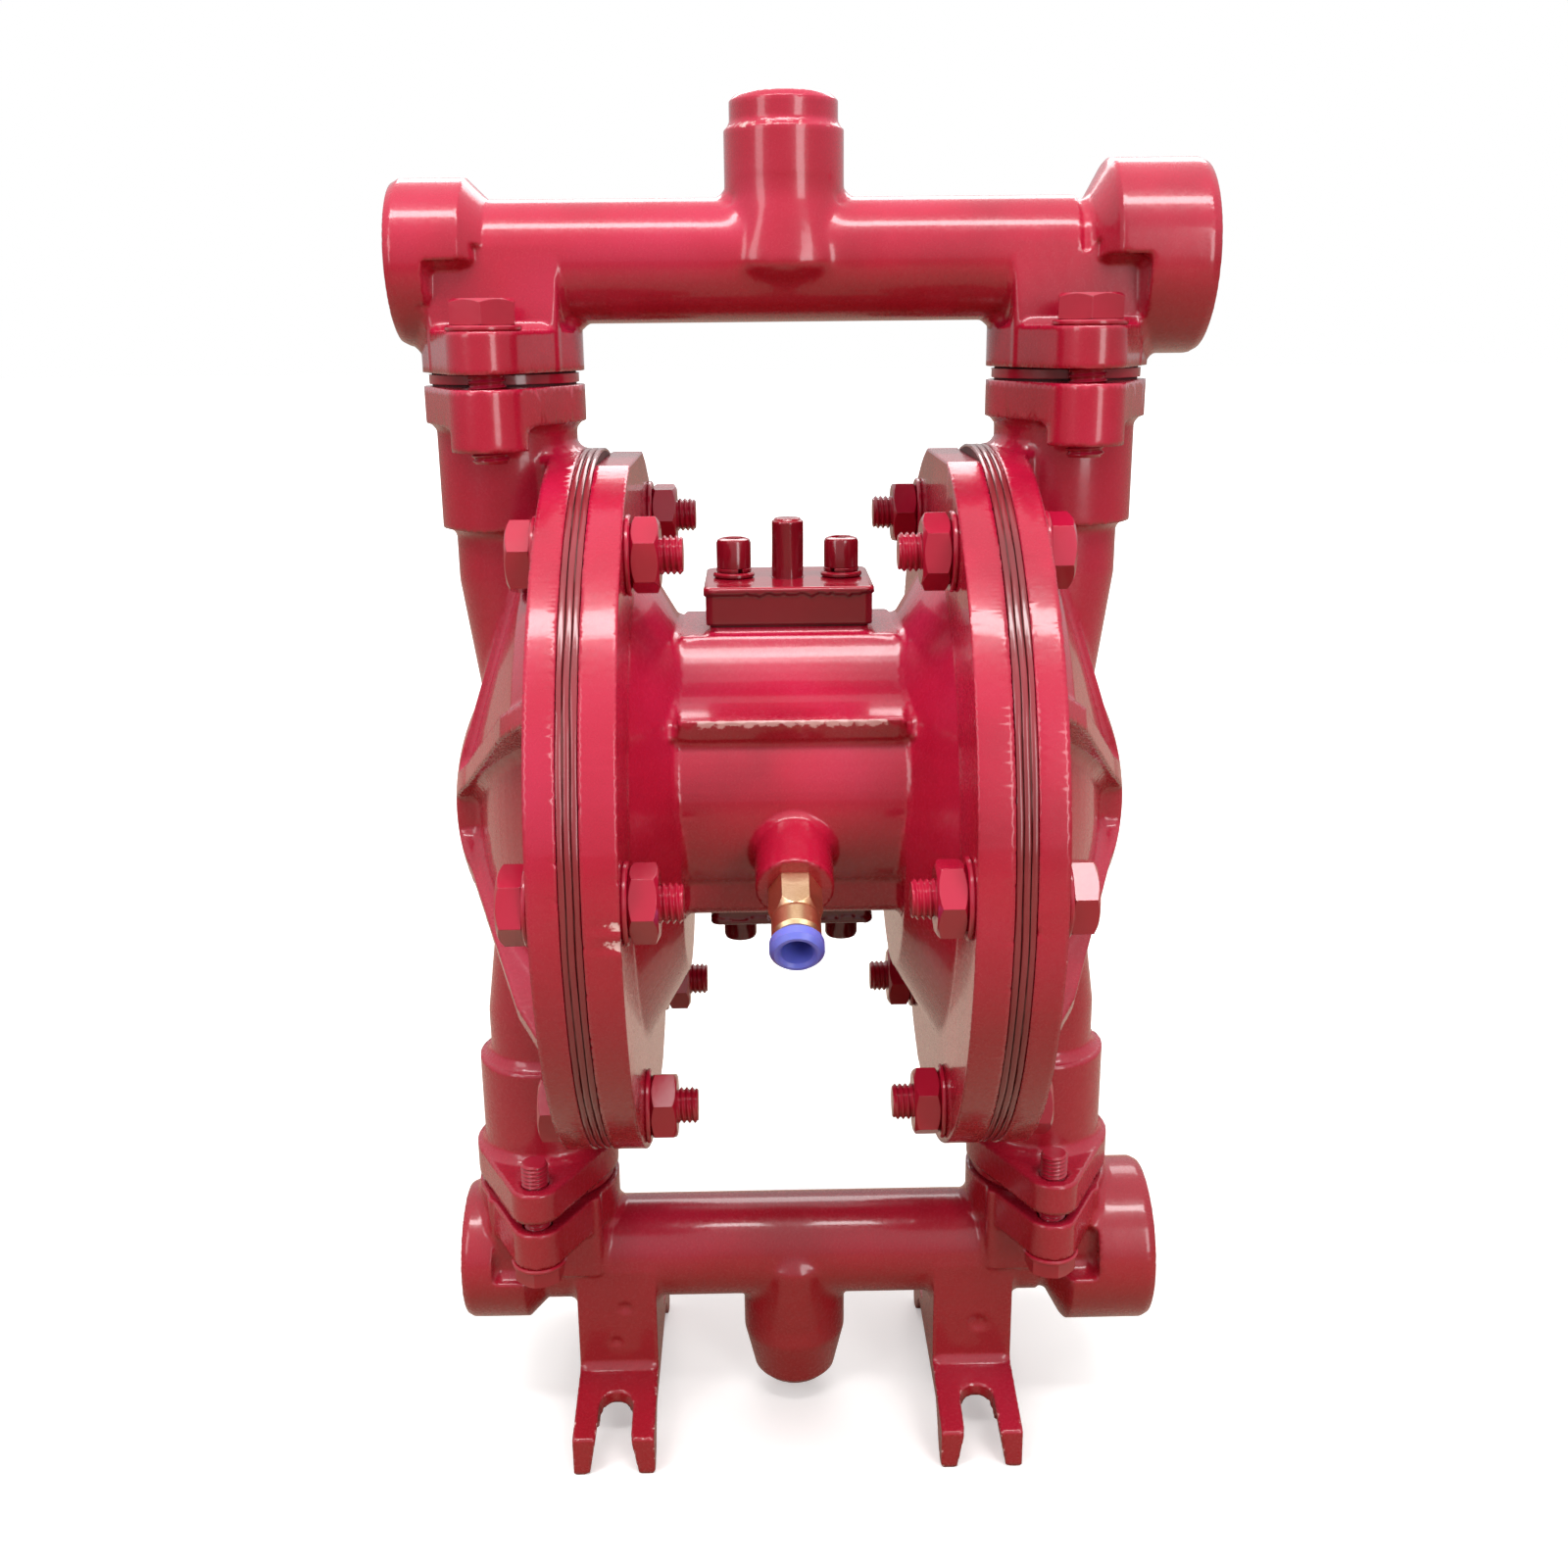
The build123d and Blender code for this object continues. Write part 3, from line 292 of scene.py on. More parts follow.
# the thick wet coat on the cap, the pin and their screws, darker than the castings' coat and with a heavier
# painted shade on its sides and undersides
capEnamel = enamelMaterial("capEnamel", dict(
    enamelLook, colour="#A8102A", deep="#880A1E", faded="#BC1838", under="#5A0B13", shadeBySlope=(-0.9, 0.75),
    roughness=0.2, grain=0.1, edgeMm=0.3))
# overspray that lets the brown rubber of the diaphragm's edge show through, with its own painted shade on
# sides and undersides
thinCoat = enamelMaterial("thinCoat", dict(
    enamelLook, colour="#902C35", deep="#6A2224", faded="#AA4650", under="#741F1F", grainMm=0.7, peelMm=1.6,
    roughness=0.22))
turnedBrass = metalMaterial("turnedBrass", "#FFE2BC", "#EBC493", 0.36, 0.7, (1.0, 1.0, 4.0))
brightSteel = metalMaterial("brightSteel", "#C9CACB", "#9A9B9D", 0.28, 0.6, (4.0, 1.0, 1.0))
cutIron = metalMaterial("cutIron", "#8F8884", "#5E5855", 0.42, 0.6, (1.0, 3.0, 3.0))
valveAluminium = metalMaterial("valveAluminium", "#D3D5D8", "#A9ACB0", 0.34, 0.8, (1.0, 1.0, 4.0))
# nitrile sheet, brown-red where overspray has reached the cut edge
diaphragmRubber = mouldedMaterial("diaphragmRubber", "#5E2622", "#3E1714", 0.6, 0.8, 0.12)
blackRubber = mouldedMaterial("blackRubber", "#24211F", "#161413", 0.55, 0.7)
gasketFibre = mouldedMaterial("gasketFibre", "#5E1018", "#3A0B10", 0.7, 0.9, 0.12)
# acetal release ring: slightly translucent periwinkle blue
releaseBlue = mouldedMaterial("releaseBlue", "#7B84E6", "#666ED8", 0.34, 0.6, 0.03, 1.48, 0.15)
print("materials ready")


def newObject(name, data):
    piece = bpy.data.objects.new(name, data)
    scene.collection.objects.link(piece)
    return piece


def smooth(mesh):
    for polygon in mesh.polygons:
        polygon.use_smooth = True


def pieceFrom(bm, name):
    mesh = bpy.data.meshes.new(name)
    bm.to_mesh(mesh)
    bm.free()
    return newObject(name, mesh)


def closedPiece(bm, name):
    # a smooth piece whose faces all look outwards
    bmesh.ops.recalc_face_normals(bm, faces=bm.faces)
    piece = pieceFrom(bm, name)
    smooth(piece.data)
    return piece


def modify(piece, kind, **values):
    modifier = piece.modifiers.new(kind.lower(), kind)
    for key, value in values.items():
        setattr(modifier, key, value)
    return modifier


def applyModifiers(piece):
    # turns the live result into the piece's plain mesh and drops the modifiers
    bpy.context.view_layer.update()
    evaluated = piece.evaluated_get(bpy.context.evaluated_depsgraph_get())
    baked = bpy.data.meshes.new_from_object(evaluated)
    piece.modifiers.clear()
    piece.data = baked


def setMaterial(piece, *materials):
    # clear() would also reset which face has which material, so a bare mesh is only added to
    if len(piece.data.materials):
        piece.data.materials.clear()
    for material in materials:
        piece.data.materials.append(material)


def standFor(piece, body, slot, *nodeNames):
    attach(piece, body)
    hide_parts(*nodeNames)


def mergedCopy(nodeName, name):
    mesh = nodes[nodeName].data.copy()
    mesh.name = name
    bm = bmesh.new()
    bm.from_mesh(mesh)
    bmesh.ops.remove_doubles(bm, verts=bm.verts, dist=2e-6)
    bm.to_mesh(mesh)
    bm.free()
    if mesh.has_custom_normals:
        mesh.attributes.remove(mesh.attributes["custom_normal"])
    return newObject(name, mesh)


castLook = {
    "outsideMm": (0.12, 0.45),  # a point this far off the solid begins to count, and counts, as fillet
    "edgeDeg": 32.0,            # outer edges sharper than this stay edges
    "edgeStepMm": 0.3,
    "edgeSnap": 0.8,            # how many voxels away a point still snaps to such an edge
    "edgeWearMm": (0.35, 1.8),  # the coat gets knocked most up to the first distance from an edge
    "edgeWear": 0.27,
    "swellDepthMm": 2.5,        # a swell grows to its full factor over this depth
    "mostTriangles": 190000,
}


def within(spot, low, high):
    return all(mm(a) <= c <= mm(b) for a, c, b in zip(low, spot, high))


def inside(piece, low, high):
    # the piece's points between two corners given in millimetres
    return [v for v in piece.data.vertices if within(v.co, low, high)]


def outerEdges(bm, look):
    # points along the solid's sharp outer edges
    limit = math.radians(look["edgeDeg"])
    spots = []
    for edge in bm.edges:
        if len(edge.link_faces) == 2 and edge.is_convex and edge.calc_face_angle() > limit:
            start, end = (corner.co for corner in edge.verts)
            steps = max(1, math.ceil((end - start).length / mm(look["edgeStepMm"])))
            spots += [start.lerp(end, i / steps) for i in range(steps + 1)]
    tree = KDTree(len(spots))
    for i, spot in enumerate(spots):
        tree.insert(spot, i)
    tree.balance()
    return tree


def castSkin(nodeName, name, voxelMm, filletMm, turns, dressing=None, look=castLook):
    # the CAD solid as a sand casting: hollow corners filled to a radius, outer edges eased;
    # dressing may list rounds (y and z of an axis along x, radius, how near a point has to be),
    # knocks (middle, radius, depth, wear) and, between a low and a high corner, drafts (reach from
    # the middle plane below and above), swells (factor across), soft places (turns) and wear
    dressing = dressing or {}
    piece = mergedCopy(nodeName, name)
    bm = bmesh.new()
    bm.from_mesh(piece.data)
    solid = BVHTree.FromBMesh(bm)
    edges = outerEdges(bm, look)
    bm.free()
    for swell in (filletMm, -filletMm):
        modify(piece, "REMESH", mode="VOXEL", voxel_size=mm(voxelMm))
        modify(piece, "DISPLACE", mid_level=0.0, strength=mm(swell))
    modify(piece, "REMESH", mode="VOXEL", voxel_size=mm(voxelMm))
    applyModifiers(piece)

    near, clear = (mm(v) for v in look["outsideMm"])
    edgeReach = mm(look["edgeSnap"] * voxelMm)
    for vertex in piece.data.vertices:
        spot, normal, _, gap = solid.find_nearest(vertex.co)
        keep = 0.0
        if (vertex.co - spot).dot(normal) > 0:
            keep = min(1.0, max(0.0, (gap - near) / (clear - near)))
        spot = spot.lerp(vertex.co, keep * keep * (3 - 2 * keep))
        if keep < 1.0:
            edgeSpot, _, edgeGap = edges.find(spot)
            if edgeGap < edgeReach:
                spot = edgeSpot
        vertex.co = spot

    for y, z, radius, reach in dressing.get("rounds", ()):
        for vertex in piece.data.vertices:
            out = Vector((0.0, vertex.co.y - mm(y), vertex.co.z - mm(z)))
            if abs(out.length - mm(radius)) < mm(reach):
                vertex.co += out * (mm(radius) / out.length - 1)
    for low, high, reachLow, reachHigh in dressing.get("drafts", ()):
        for vertex in inside(piece, low, high):
            part = (vertex.co.z - mm(low[2])) / mm(high[2] - low[2])
            reach = mm(reachLow + (reachHigh - reachLow) * part)
            if abs(vertex.co.y) > reach:
                vertex.co.y = math.copysign(reach, vertex.co.y)
    for low, high, factor in dressing.get("swells", ()):
        for vertex in inside(piece, low, high):
            depth = min(1.0, (mm(high[1]) - vertex.co.y) / mm(look["swellDepthMm"]))
            vertex.co.x *= 1 + (factor - 1) * depth * depth * (3 - 2 * depth)
    for i, (low, high, smoothing) in enumerate(dressing.get("soft", ())):
        group = piece.vertex_groups.new(name=f"soft{i}")
        group.add([vertex.index for vertex in inside(piece, low, high)], 1.0, "REPLACE")
        modify(piece, "SMOOTH", vertex_group=group.name, factor=0.5, iterations=smoothing)
    modify(piece, "SMOOTH", factor=0.5, iterations=turns)
    triangles = 2 * len(piece.data.polygons)
    if triangles > look["mostTriangles"]:
        modify(piece, "DECIMATE", ratio=look["mostTriangles"] / triangles)
    applyModifiers(piece)

    core, wide = (mm(v) for v in look["edgeWearMm"])
    worn = piece.data.attributes.new("worn", "FLOAT", "POINT")
    for i, vertex in enumerate(piece.data.vertices):
        for spot, radius, depth, bare in dressing.get("knocks", ()):
            away = (vertex.co - place(*spot)).length / mm(radius)
            if away < 1:
                worn.data[i].value = bare * (1 - away) ** 0.3
                vertex.co -= mm(depth) * (1 - away * away) * vertex.normal
        _, _, edgeGap = edges.find(vertex.co)
        if edgeGap < wide:
            amount = look["edgeWear"]
            for low, high, strength in dressing.get("wear", ()):
                if within(vertex.co, low, high):
                    amount = max(amount, strength)
            shown = amount * min(1.0, (wide - edgeGap) / (wide - core)) ** 0.5
            worn.data[i].value = max(worn.data[i].value, shown)
    smooth(piece.data)
    print(name, len(piece.data.polygons), "faces")
    return piece


cameraLook = {
    "lensMm": 36.04,
    "position": (-8.27, -439.5, 331.4),
    "yawDeg": 0.87,
    "pitchDeg": 16.25,
    "rollDeg": -0.58,
}


def makeCamera(look):
    yaw, pitch, roll = (math.radians(look[k]) for k in ("yawDeg", "pitchDeg", "rollDeg"))
    forward = Vector((math.sin(yaw) * math.cos(pitch), math.cos(yaw) * math.cos(pitch), -math.sin(pitch)))
    right = Vector((math.cos(yaw), -math.sin(yaw), 0.0))
    up = right.cross(forward)
    rolledRight = math.cos(roll) * right + math.sin(roll) * up
    rolledUp = math.cos(roll) * up - math.sin(roll) * right
    data = bpy.data.cameras.new("camera")
    data.sensor_width = 36.0
    data.lens = look["lensMm"]
    data.clip_start = 0.01
    camera = newObject("camera", data)
    axes = Matrix((rolledRight, rolledUp, -forward)).transposed().to_4x4()
    camera.matrix_world = Matrix.Translation(place(*look["position"])) @ axes
    scene.camera = camera


stageLook = {
    "floor": "#F2F0EE",
    "bounce": "#8C6650",         # what the floor gives back to the underside of the pump
    "mirrored": "#B49D8F",       # the floor as gloss and metal mirror it
    "mirroredWhite": 0.3,        # share of the white backdrop that gloss and metal mirror
    "floorSizeM": 24.0,
    "glow": (0.30, 1.0),         # lift of the seen floor beside the pump and far from it
    "glowReachM": (0.3, 2.0),
    "skyTop": 0.95,              # light from straight above and from the horizon
    "skyHorizon": 0.34,
    "aim": (0.0, 0.0, 0.2),      # the place in metres that all lamps look at
    "lamps": [
        # name, place in metres, size in metres, watts
        ("keyLamp", (-0.05, -0.52, 1.55), (1.7, 0.22), 17.0),
        ("sideLamp", (-1.0, -0.9, 0.8), (0.4, 0.9), 4.0),
        ("fillLamp", (0.7, -1.2, 0.6), (0.4, 0.9), 6.0),
        ("backLamp", (0.1, 1.2, 1.1), (1.2, 0.5), 7.0),
    ],
}


def makeStage(look):
    material, tree = newMaterial("floorPaint")
    seen = addNode(tree, "ShaderNodeLightPath").outputs
    away = addNode(tree, "ShaderNodeVectorMath", {"operation": "LENGTH"}, {0: objectCoords(tree)})
    glow = first(tree, "ShaderNodeMapRange", inputs={
        "Value": away.outputs["Value"], "From Min": look["glowReachM"][0], "From Max": look["glowReachM"][1],
        "To Min": look["glow"][0], "To Max": look["glow"][1],
    })
    pale, dark, glossy = (
        first(tree, "ShaderNodeBsdfDiffuse", inputs={"Color": linear(look[key])})
        for key in ("floor", "bounce", "mirrored")
    )
    light = first(tree, "ShaderNodeEmission", inputs={"Color": (1, 1, 1, 1), "Strength": glow})
    lifted = first(tree, "ShaderNodeAddShader", inputs={0: pale, 1: light})
    mirrored = first(tree, "ShaderNodeMixShader", inputs={0: seen["Is Glossy Ray"], 1: dark, 2: glossy})
    shown = calc(tree, "MAXIMUM", seen["Is Camera Ray"], seen["Is Transmission Ray"])
    finishTree(tree, "ShaderNodeOutputMaterial", "ShaderNodeMixShader", {0: shown, 1: mirrored, 2: lifted})
    bm = bmesh.new()
    bmesh.ops.create_grid(bm, x_segments=1, y_segments=1, size=look["floorSizeM"] / 2)
    floor = pieceFrom(bm, "floor")
    setMaterial(floor, material)

    world = bpy.data.worlds.new("studio")
    scene.world = world
    world.use_nodes = True
    tree = world.node_tree
    tree.nodes.clear()
    seen = addNode(tree, "ShaderNodeLightPath").outputs
    way = addNode(tree, "ShaderNodeTexCoord").outputs["Generated"]
    lift = addNode(tree, "ShaderNodeSeparateXYZ", inputs={"Vector": way}).outputs["Z"]
    strength = first(tree, "ShaderNodeMapRange", inputs={
        "Value": lift, "From Min": 0.0, "From Max": 1.0,
        "To Min": look["skyHorizon"], "To Max": look["skyTop"],
    })
    glossy = Term(tree, seen["Is Glossy Ray"]) * look["mirroredWhite"]
    direct = calc(tree, "MAXIMUM", seen["Is Camera Ray"], seen["Is Transmission Ray"])
    shown = calc(tree, "MAXIMUM", direct, glossy)
    soft, white = (
        first(tree, "ShaderNodeBackground", inputs={"Color": (1, 1, 1, 1), "Strength": value})
        for value in (strength, 1.0)
    )
    finishTree(tree, "ShaderNodeOutputWorld", "ShaderNodeMixShader", {0: shown, 1: soft, 2: white})

    for name, spot, size, watts in look["lamps"]:
        data = bpy.data.lights.new(name, "AREA")
        data.shape = "RECTANGLE"
        data.size, data.size_y = size
        data.energy = watts
        lamp = newObject(name, data)
        lamp.location = spot
        aim = Vector(look["aim"]) - Vector(spot)
        lamp.rotation_euler = aim.to_track_quat("-Z", "Y").to_euler()


makeCamera(cameraLook)
makeStage(stageLook)
scene.view_settings.view_transform = "Standard"
print("stage ready")


def pipeRounds(z):
    # a manifold's pipe, wide port collar and small port collar
    return [(0, z, 15.7, 0.1), (0, z, 24.8, 0.15), (0, z, 21.1, 0.15)]


def bothNecks(bottom, top, reachLow, reachHigh):
    return [((x - 18, -18, bottom), (x + 18, 18, top), reachLow, reachHigh) for x in (-76, 76)]


castings = {
    # piece: CAD node, voxel, hollow radius in millimetres, turns of easing, dressing
    "centreCasting": ("centre_body", 0.85, 0.9, 1, {
        "rounds": [(0, 200, 100.0, 0.3)],
        "wear": [((-25, -50, 233.2), (25, -45, 236), 0.8), ((-48, -101, 100), (48, 101, 300), 0.36)],
        # the ledge's front slopes back under its edge
        "drafts": [((-30, -49, 228.4), (30, -44, 234.0), 45.9, 48.0)],
        "knocks": [((-42.0, -99.3, 198.5), 1.6, 0.3, 0.9), ((-42.0, -99.3, 193.5), 2.0, 0.4, 0.9),
                   ((44.0, -99.0, 176.0), 0.9, 0.3, 0.7)],
    }),
    "coverCastingLeft": ("outer_cover_left", 0.9, 1.5, 1, {
        "rounds": [(0, 200, 100.0, 0.3)],
        "wear": [((-72, -101, 100), (-60, 101, 300), 0.4)],
    }),
    "coverCastingRight": ("outer_cover_right", 0.9, 1.5, 1, {
        "rounds": [(0, 200, 100.0, 0.3)],
        "wear": [((60, -101, 100), (72, 101, 300), 0.4)],
        "knocks": [((60.5, -99.0, 226.0), 1.1, 0.3, 0.7), ((60.0, -97.0, 170.0), 1.4, 0.3, 0.7)],
    }),
    "dischargeCasting": ("discharge_manifold", 0.8, 1.3, 2, {
        "rounds": pipeRounds(348.3),
        "wear": [((-17, -17, 379), (17, 0, 383), 0.55)],
        # the neck's flat faces run out into the pipe at its middle
        "drafts": bothNecks(331.5, 348.3, 17.5, 15.8) + bothNecks(348.3, 352, 15.8, 15.3),
        "swells": [((-20, -40, 333), (20, -14.5, 366), 1.3)],
        "soft": [((-24, -40, 322), (24, -9, 369), 70)],
    }),
    "inletCasting": ("inlet_manifold", 0.85, 1.4, 2, {
        "rounds": pipeRounds(51.7),
        "wear": [((-70, -44, 0), (70, -14, 20), 0.5)],
        "knocks": [((-53.0, -16.0, 39.0), 2.2, 1.0, 0.36), ((-56.0, -16.0, 27.0), 1.7, 0.8, 0.36),
                   ((57.3, -16.0, 31.4), 3.0, 0.9, 0.4)],
        "soft": [((-24, -40, 34), (24, -8, 68), 16)],
    }),
}

for pieceName, (nodeName, *settings) in castings.items():
    casting = castSkin(nodeName, pieceName, *settings)
    setMaterial(casting, castEnamel)
    standFor(casting, "pump", "enamelled_iron", nodeName)
print("castings ready")


ringSteps = 48      # columns round heads, nuts and washers
rodInHeadMm = 1.0   # how far a threaded rod reaches up into its head
mergeMm = 0.01      # points nearer than this are joined


def newTree(name, sizes):
    # a geometry tree with one named input for each size, and the material as the last one
    tree = bpy.data.node_groups.new(name, "GeometryNodeTree")
    face = tree.interface
    face.new_socket("Geometry", in_out="INPUT", socket_type="NodeSocketGeometry")
    face.new_socket("Geometry", in_out="OUTPUT", socket_type="NodeSocketGeometry")
    for label in sizes:
        face.new_socket(label, in_out="INPUT", socket_type="NodeSocketFloat")
    face.new_socket("Material", in_out="INPUT", socket_type="NodeSocketMaterial")
    sockets = addNode(tree, "NodeGroupInput").outputs
    return tree, {socket.name: Term(tree, socket) for socket in sockets if socket.name}


def choose(tree, index, values):
    node = addNode(tree, "GeometryNodeIndexSwitch", {"data_type": "FLOAT"}, {"Index": index})
    while len(node.index_switch_items) < len(values):
        node.index_switch_items.new()
    for i, value in enumerate(values):
        if isinstance(value, Term):
            tree.links.new(value.socket, node.inputs[i + 1])
        else:
            node.inputs[i + 1].default_value = value
    return Term(tree, node.outputs[0])


def grid(tree, around, rows):
    # a flat sheet: its mesh, and how far each point lies along it both ways, from 0 to 1
    sheet = addNode(tree, "GeometryNodeMeshGrid", inputs={
        "Size X": 1.0, "Size Y": 1.0, "Vertices X": around, "Vertices Y": rows,
    }).outputs["Mesh"]
    spot = first(tree, "GeometryNodeInputPosition")
    parts = addNode(tree, "ShaderNodeSeparateXYZ", inputs={"Vector": spot}).outputs
    return sheet, Term(tree, parts["X"]) + 0.5, Term(tree, parts["Y"]) + 0.5


def wrapped(tree, sheet, angle, radius, height):
    # wraps a sheet round Z and closes its seams
    spot = first(tree, "ShaderNodeCombineXYZ", inputs={
        "X": radius * calc(tree, "COSINE", angle), "Y": radius * calc(tree, "SINE", angle), "Z": height,
    })
    placed = first(tree, "GeometryNodeSetPosition", inputs={"Geometry": sheet, "Position": spot})
    return first(tree, "GeometryNodeMergeByDistance", inputs={"Geometry": placed, "Distance": mm(mergeMm)})


def hexagonRadius(tree, angle, halfFlats):
    # distance from the middle to the side of a hexagon, in the direction of angle
    folded = calc(tree, "MODULO", angle + math.pi / 6, math.pi / 3)
    return halfFlats / calc(tree, "COSINE", folded - math.pi / 6)


def hexagonForm(tree, given):
    # bolt head, or with a bore a nut, whose corners are turned off at 30 degrees
    bored = "Bore" in given
    rings = 7 if bored else 6
    sheet, turnPart, upPart = grid(tree, ringSteps + 1, rings)
    angle = turnPart * math.tau
    halfFlats = given["Across Flats"] * 0.5
    side = hexagonRadius(tree, angle, halfFlats)
    face = halfFlats * 0.94
    cut = (side - face) * math.tan(math.radians(30))
    lowCut = cut * (1.0 if bored else 0.15)
    height = given["Height"]
    bore = given["Bore"] if bored else 0.0
    radii = [bore, face, side, side, face, bore]
    heights = [0.0, 0.0, lowCut, height - cut, height, height]
    if bored:
        radii.append(bore)
        heights.append(0.0)
    index = calc(tree, "ROUND", upPart * (rings - 1))
    return wrapped(tree, sheet, angle, choose(tree, index, radii), choose(tree, index, heights))


def threadForm(tree, given, inward=False):
    # one ribbon wound round Z, a pitch wide, whose middle stands out as the thread's crest
    steps, rows = 24, 7
    length, pitch, depth, outer = (given[label] for label in ("Length", "Pitch", "Depth", "Radius"))
    turns = calc(tree, "CEIL", length / pitch) + 1.0
    sheet, windPart, acrossPart = grid(tree, turns * steps + 1.0, rows)
    wound = windPart * turns
    angle = wound * math.tau
    rise = (wound - 1.0 + acrossPart) * pitch
    height = calc(tree, "MINIMUM", calc(tree, "MAXIMUM", rise, 0.0), length)
    hollow = depth * (calc(tree, "COSINE", acrossPart * math.tau) * 0.5 + 0.5)
    toEnd = calc(tree, "MINIMUM", height, length - height)
    if inward:
        stand = calc(tree, "MINIMUM", depth - hollow, toEnd)
        form = wrapped(tree, sheet, angle, outer - stand, height)
        return first(tree, "GeometryNodeFlipFaces", inputs={"Mesh": form})
    root = outer - depth * 1.1
    ribbon = wrapped(tree, sheet, angle, calc(tree, "MINIMUM", outer - hollow, root + toEnd), height)
    disc = first(tree, "GeometryNodeMeshCircle", {"fill_type": "NGON"}, {"Vertices": steps, "Radius": root})
    foot = first(tree, "GeometryNodeFlipFaces", inputs={"Mesh": disc})
    lift = first(tree, "ShaderNodeCombineXYZ", inputs={"Z": length})
    end = first(tree, "GeometryNodeTransform", inputs={"Geometry": disc, "Translation": lift})
    closed = joined(tree, ribbon, foot, end)
    return first(tree, "GeometryNodeMergeByDistance", inputs={"Geometry": closed, "Distance": mm(mergeMm)})


def joined(tree, *forms):
    node = addNode(tree, "GeometryNodeJoinGeometry")
    for form in reversed(forms):
        tree.links.new(form, node.inputs[0])
    return node.outputs[0]


def boltRod(tree, given):
    # threaded from the tip up into the head, drawn downwards from the seat
    return first(tree, "GeometryNodeTransform", inputs={
        "Geometry": threadForm(tree, given), "Translation": (0.0, 0.0, mm(rodInHeadMm)),
        "Rotation": (math.pi, 0.0, 0.0),
    })


def ringForm(tree, given):
    # washer with eased edges; a gap makes it a spring lock ring, whose ends stand apart
    sheet, turnPart, upPart = grid(tree, ringSteps + 1, 7)
    split = calc(tree, "GREATER_THAN", given["Gap"], 0.001)
    inner = calc(tree, "DIVIDE", turnPart * ringSteps - 1.0, ringSteps - 2.0, clamp=True)
    angle = (inner * split + turnPart * (1.0 - split)) * (math.tau - given["Gap"])
    bore, rim, thick, edge = given["Bore"], given["Radius"], given["Height"], given["Edge"]
    flat = rim - edge
    index = calc(tree, "ROUND", upPart * 6.0)
    radius = choose(tree, index, [bore, flat, rim, rim, flat, bore, bore])
    height = choose(tree, index, [0.0, 0.0, edge, thick - edge, thick, thick, 0.0])
    # the first and last column of a split ring fall together and close its ends
    close = calc(tree, "GREATER_THAN", calc(tree, "ABSOLUTE", turnPart - 0.5), 0.499) * split
    radius = radius * (1.0 - close) + (bore + rim) * 0.5 * close
    height = height * (1.0 - close) + thick * 0.5 * close
    return wrapped(tree, sheet, angle, radius, height)


def socketForm(tree, given):
    # cheese head with a hexagon socket and a rounded rim
    rings = 9
    sheet, turnPart, upPart = grid(tree, ringSteps + 1, rings)
    angle = turnPart * math.tau
    wall = hexagonRadius(tree, angle, given["Socket"] * 0.5)
    rim, top, edge = given["Head Radius"], given["Height"], given["Edge"]
    floor = top - given["Socket Depth"]
    radii = [0.0, rim, rim, rim - edge * 0.3, rim - edge, wall * 1.12, wall, wall, 0.0]
    heights = [0.0, 0.0, top - edge, top - edge * 0.3, top, top, top - mm(0.5), floor, floor]
    index = calc(tree, "ROUND", upPart * (rings - 1))
    return wrapped(tree, sheet, angle, choose(tree, index, radii), choose(tree, index, heights))


def pointValue(tree, name, kind):
    # what each point carries under a name
    node = addNode(tree, "GeometryNodeInputNamedAttribute", {"data_type": kind}, {"Name": name})
    return next(socket for socket in node.outputs if socket.enabled)


def setOnPoints(tree, given, form):
    # one copy on each point, its Z along the point's axis, turned about it
    aimed = first(tree, "FunctionNodeAlignRotationToVector", {"axis": "Z"}, {
        "Vector": pointValue(tree, "axis", "FLOAT_VECTOR"),
    })
    spin = first(tree, "FunctionNodeAxisAngleToRotation", inputs={
        "Axis": (0.0, 0.0, 1.0), "Angle": pointValue(tree, "turn", "FLOAT"),
    })
    turned = first(tree, "FunctionNodeRotateRotation", {"rotation_space": "LOCAL"}, {
        "Rotation": aimed, "Rotate By": spin,
    })
    copies = first(tree, "GeometryNodeInstanceOnPoints", inputs={
        "Points": given["Geometry"], "Instance": form, "Rotation": turned,
    })
    real = first(tree, "GeometryNodeRealizeInstances", inputs={"Geometry": copies})
    dressed = first(tree, "GeometryNodeSetMaterial", inputs={
        "Geometry": real, "Material": given["Material"],
    })
    addNode(tree, "NodeGroupOutput", inputs={"Geometry": dressed})


def portForm(tree, given):
    return threadForm(tree, given, inward=True)


def makeTree(name, sizes, *forms):
    tree, given = newTree(name, sizes)
    setOnPoints(tree, given, joined(tree, *(form(tree, given) for form in forms)))
    return tree


rodSizes = ["Radius", "Pitch", "Depth", "Length"]
boltTree = makeTree("hexagonBolts", ["Across Flats", "Height"] + rodSizes, hexagonForm, boltRod)
nutTree = makeTree("hexagonNuts", ["Across Flats", "Height", "Bore"], hexagonForm)
ringTree = makeTree("washers", ["Radius", "Bore", "Height", "Edge", "Gap"], ringForm)
screwSizes = ["Head Radius", "Height", "Edge", "Socket", "Socket Depth"]
screwTree = makeTree("socketScrews", screwSizes + rodSizes, socketForm, boltRod)
portTree = makeTree("portThreads", rodSizes, portForm)


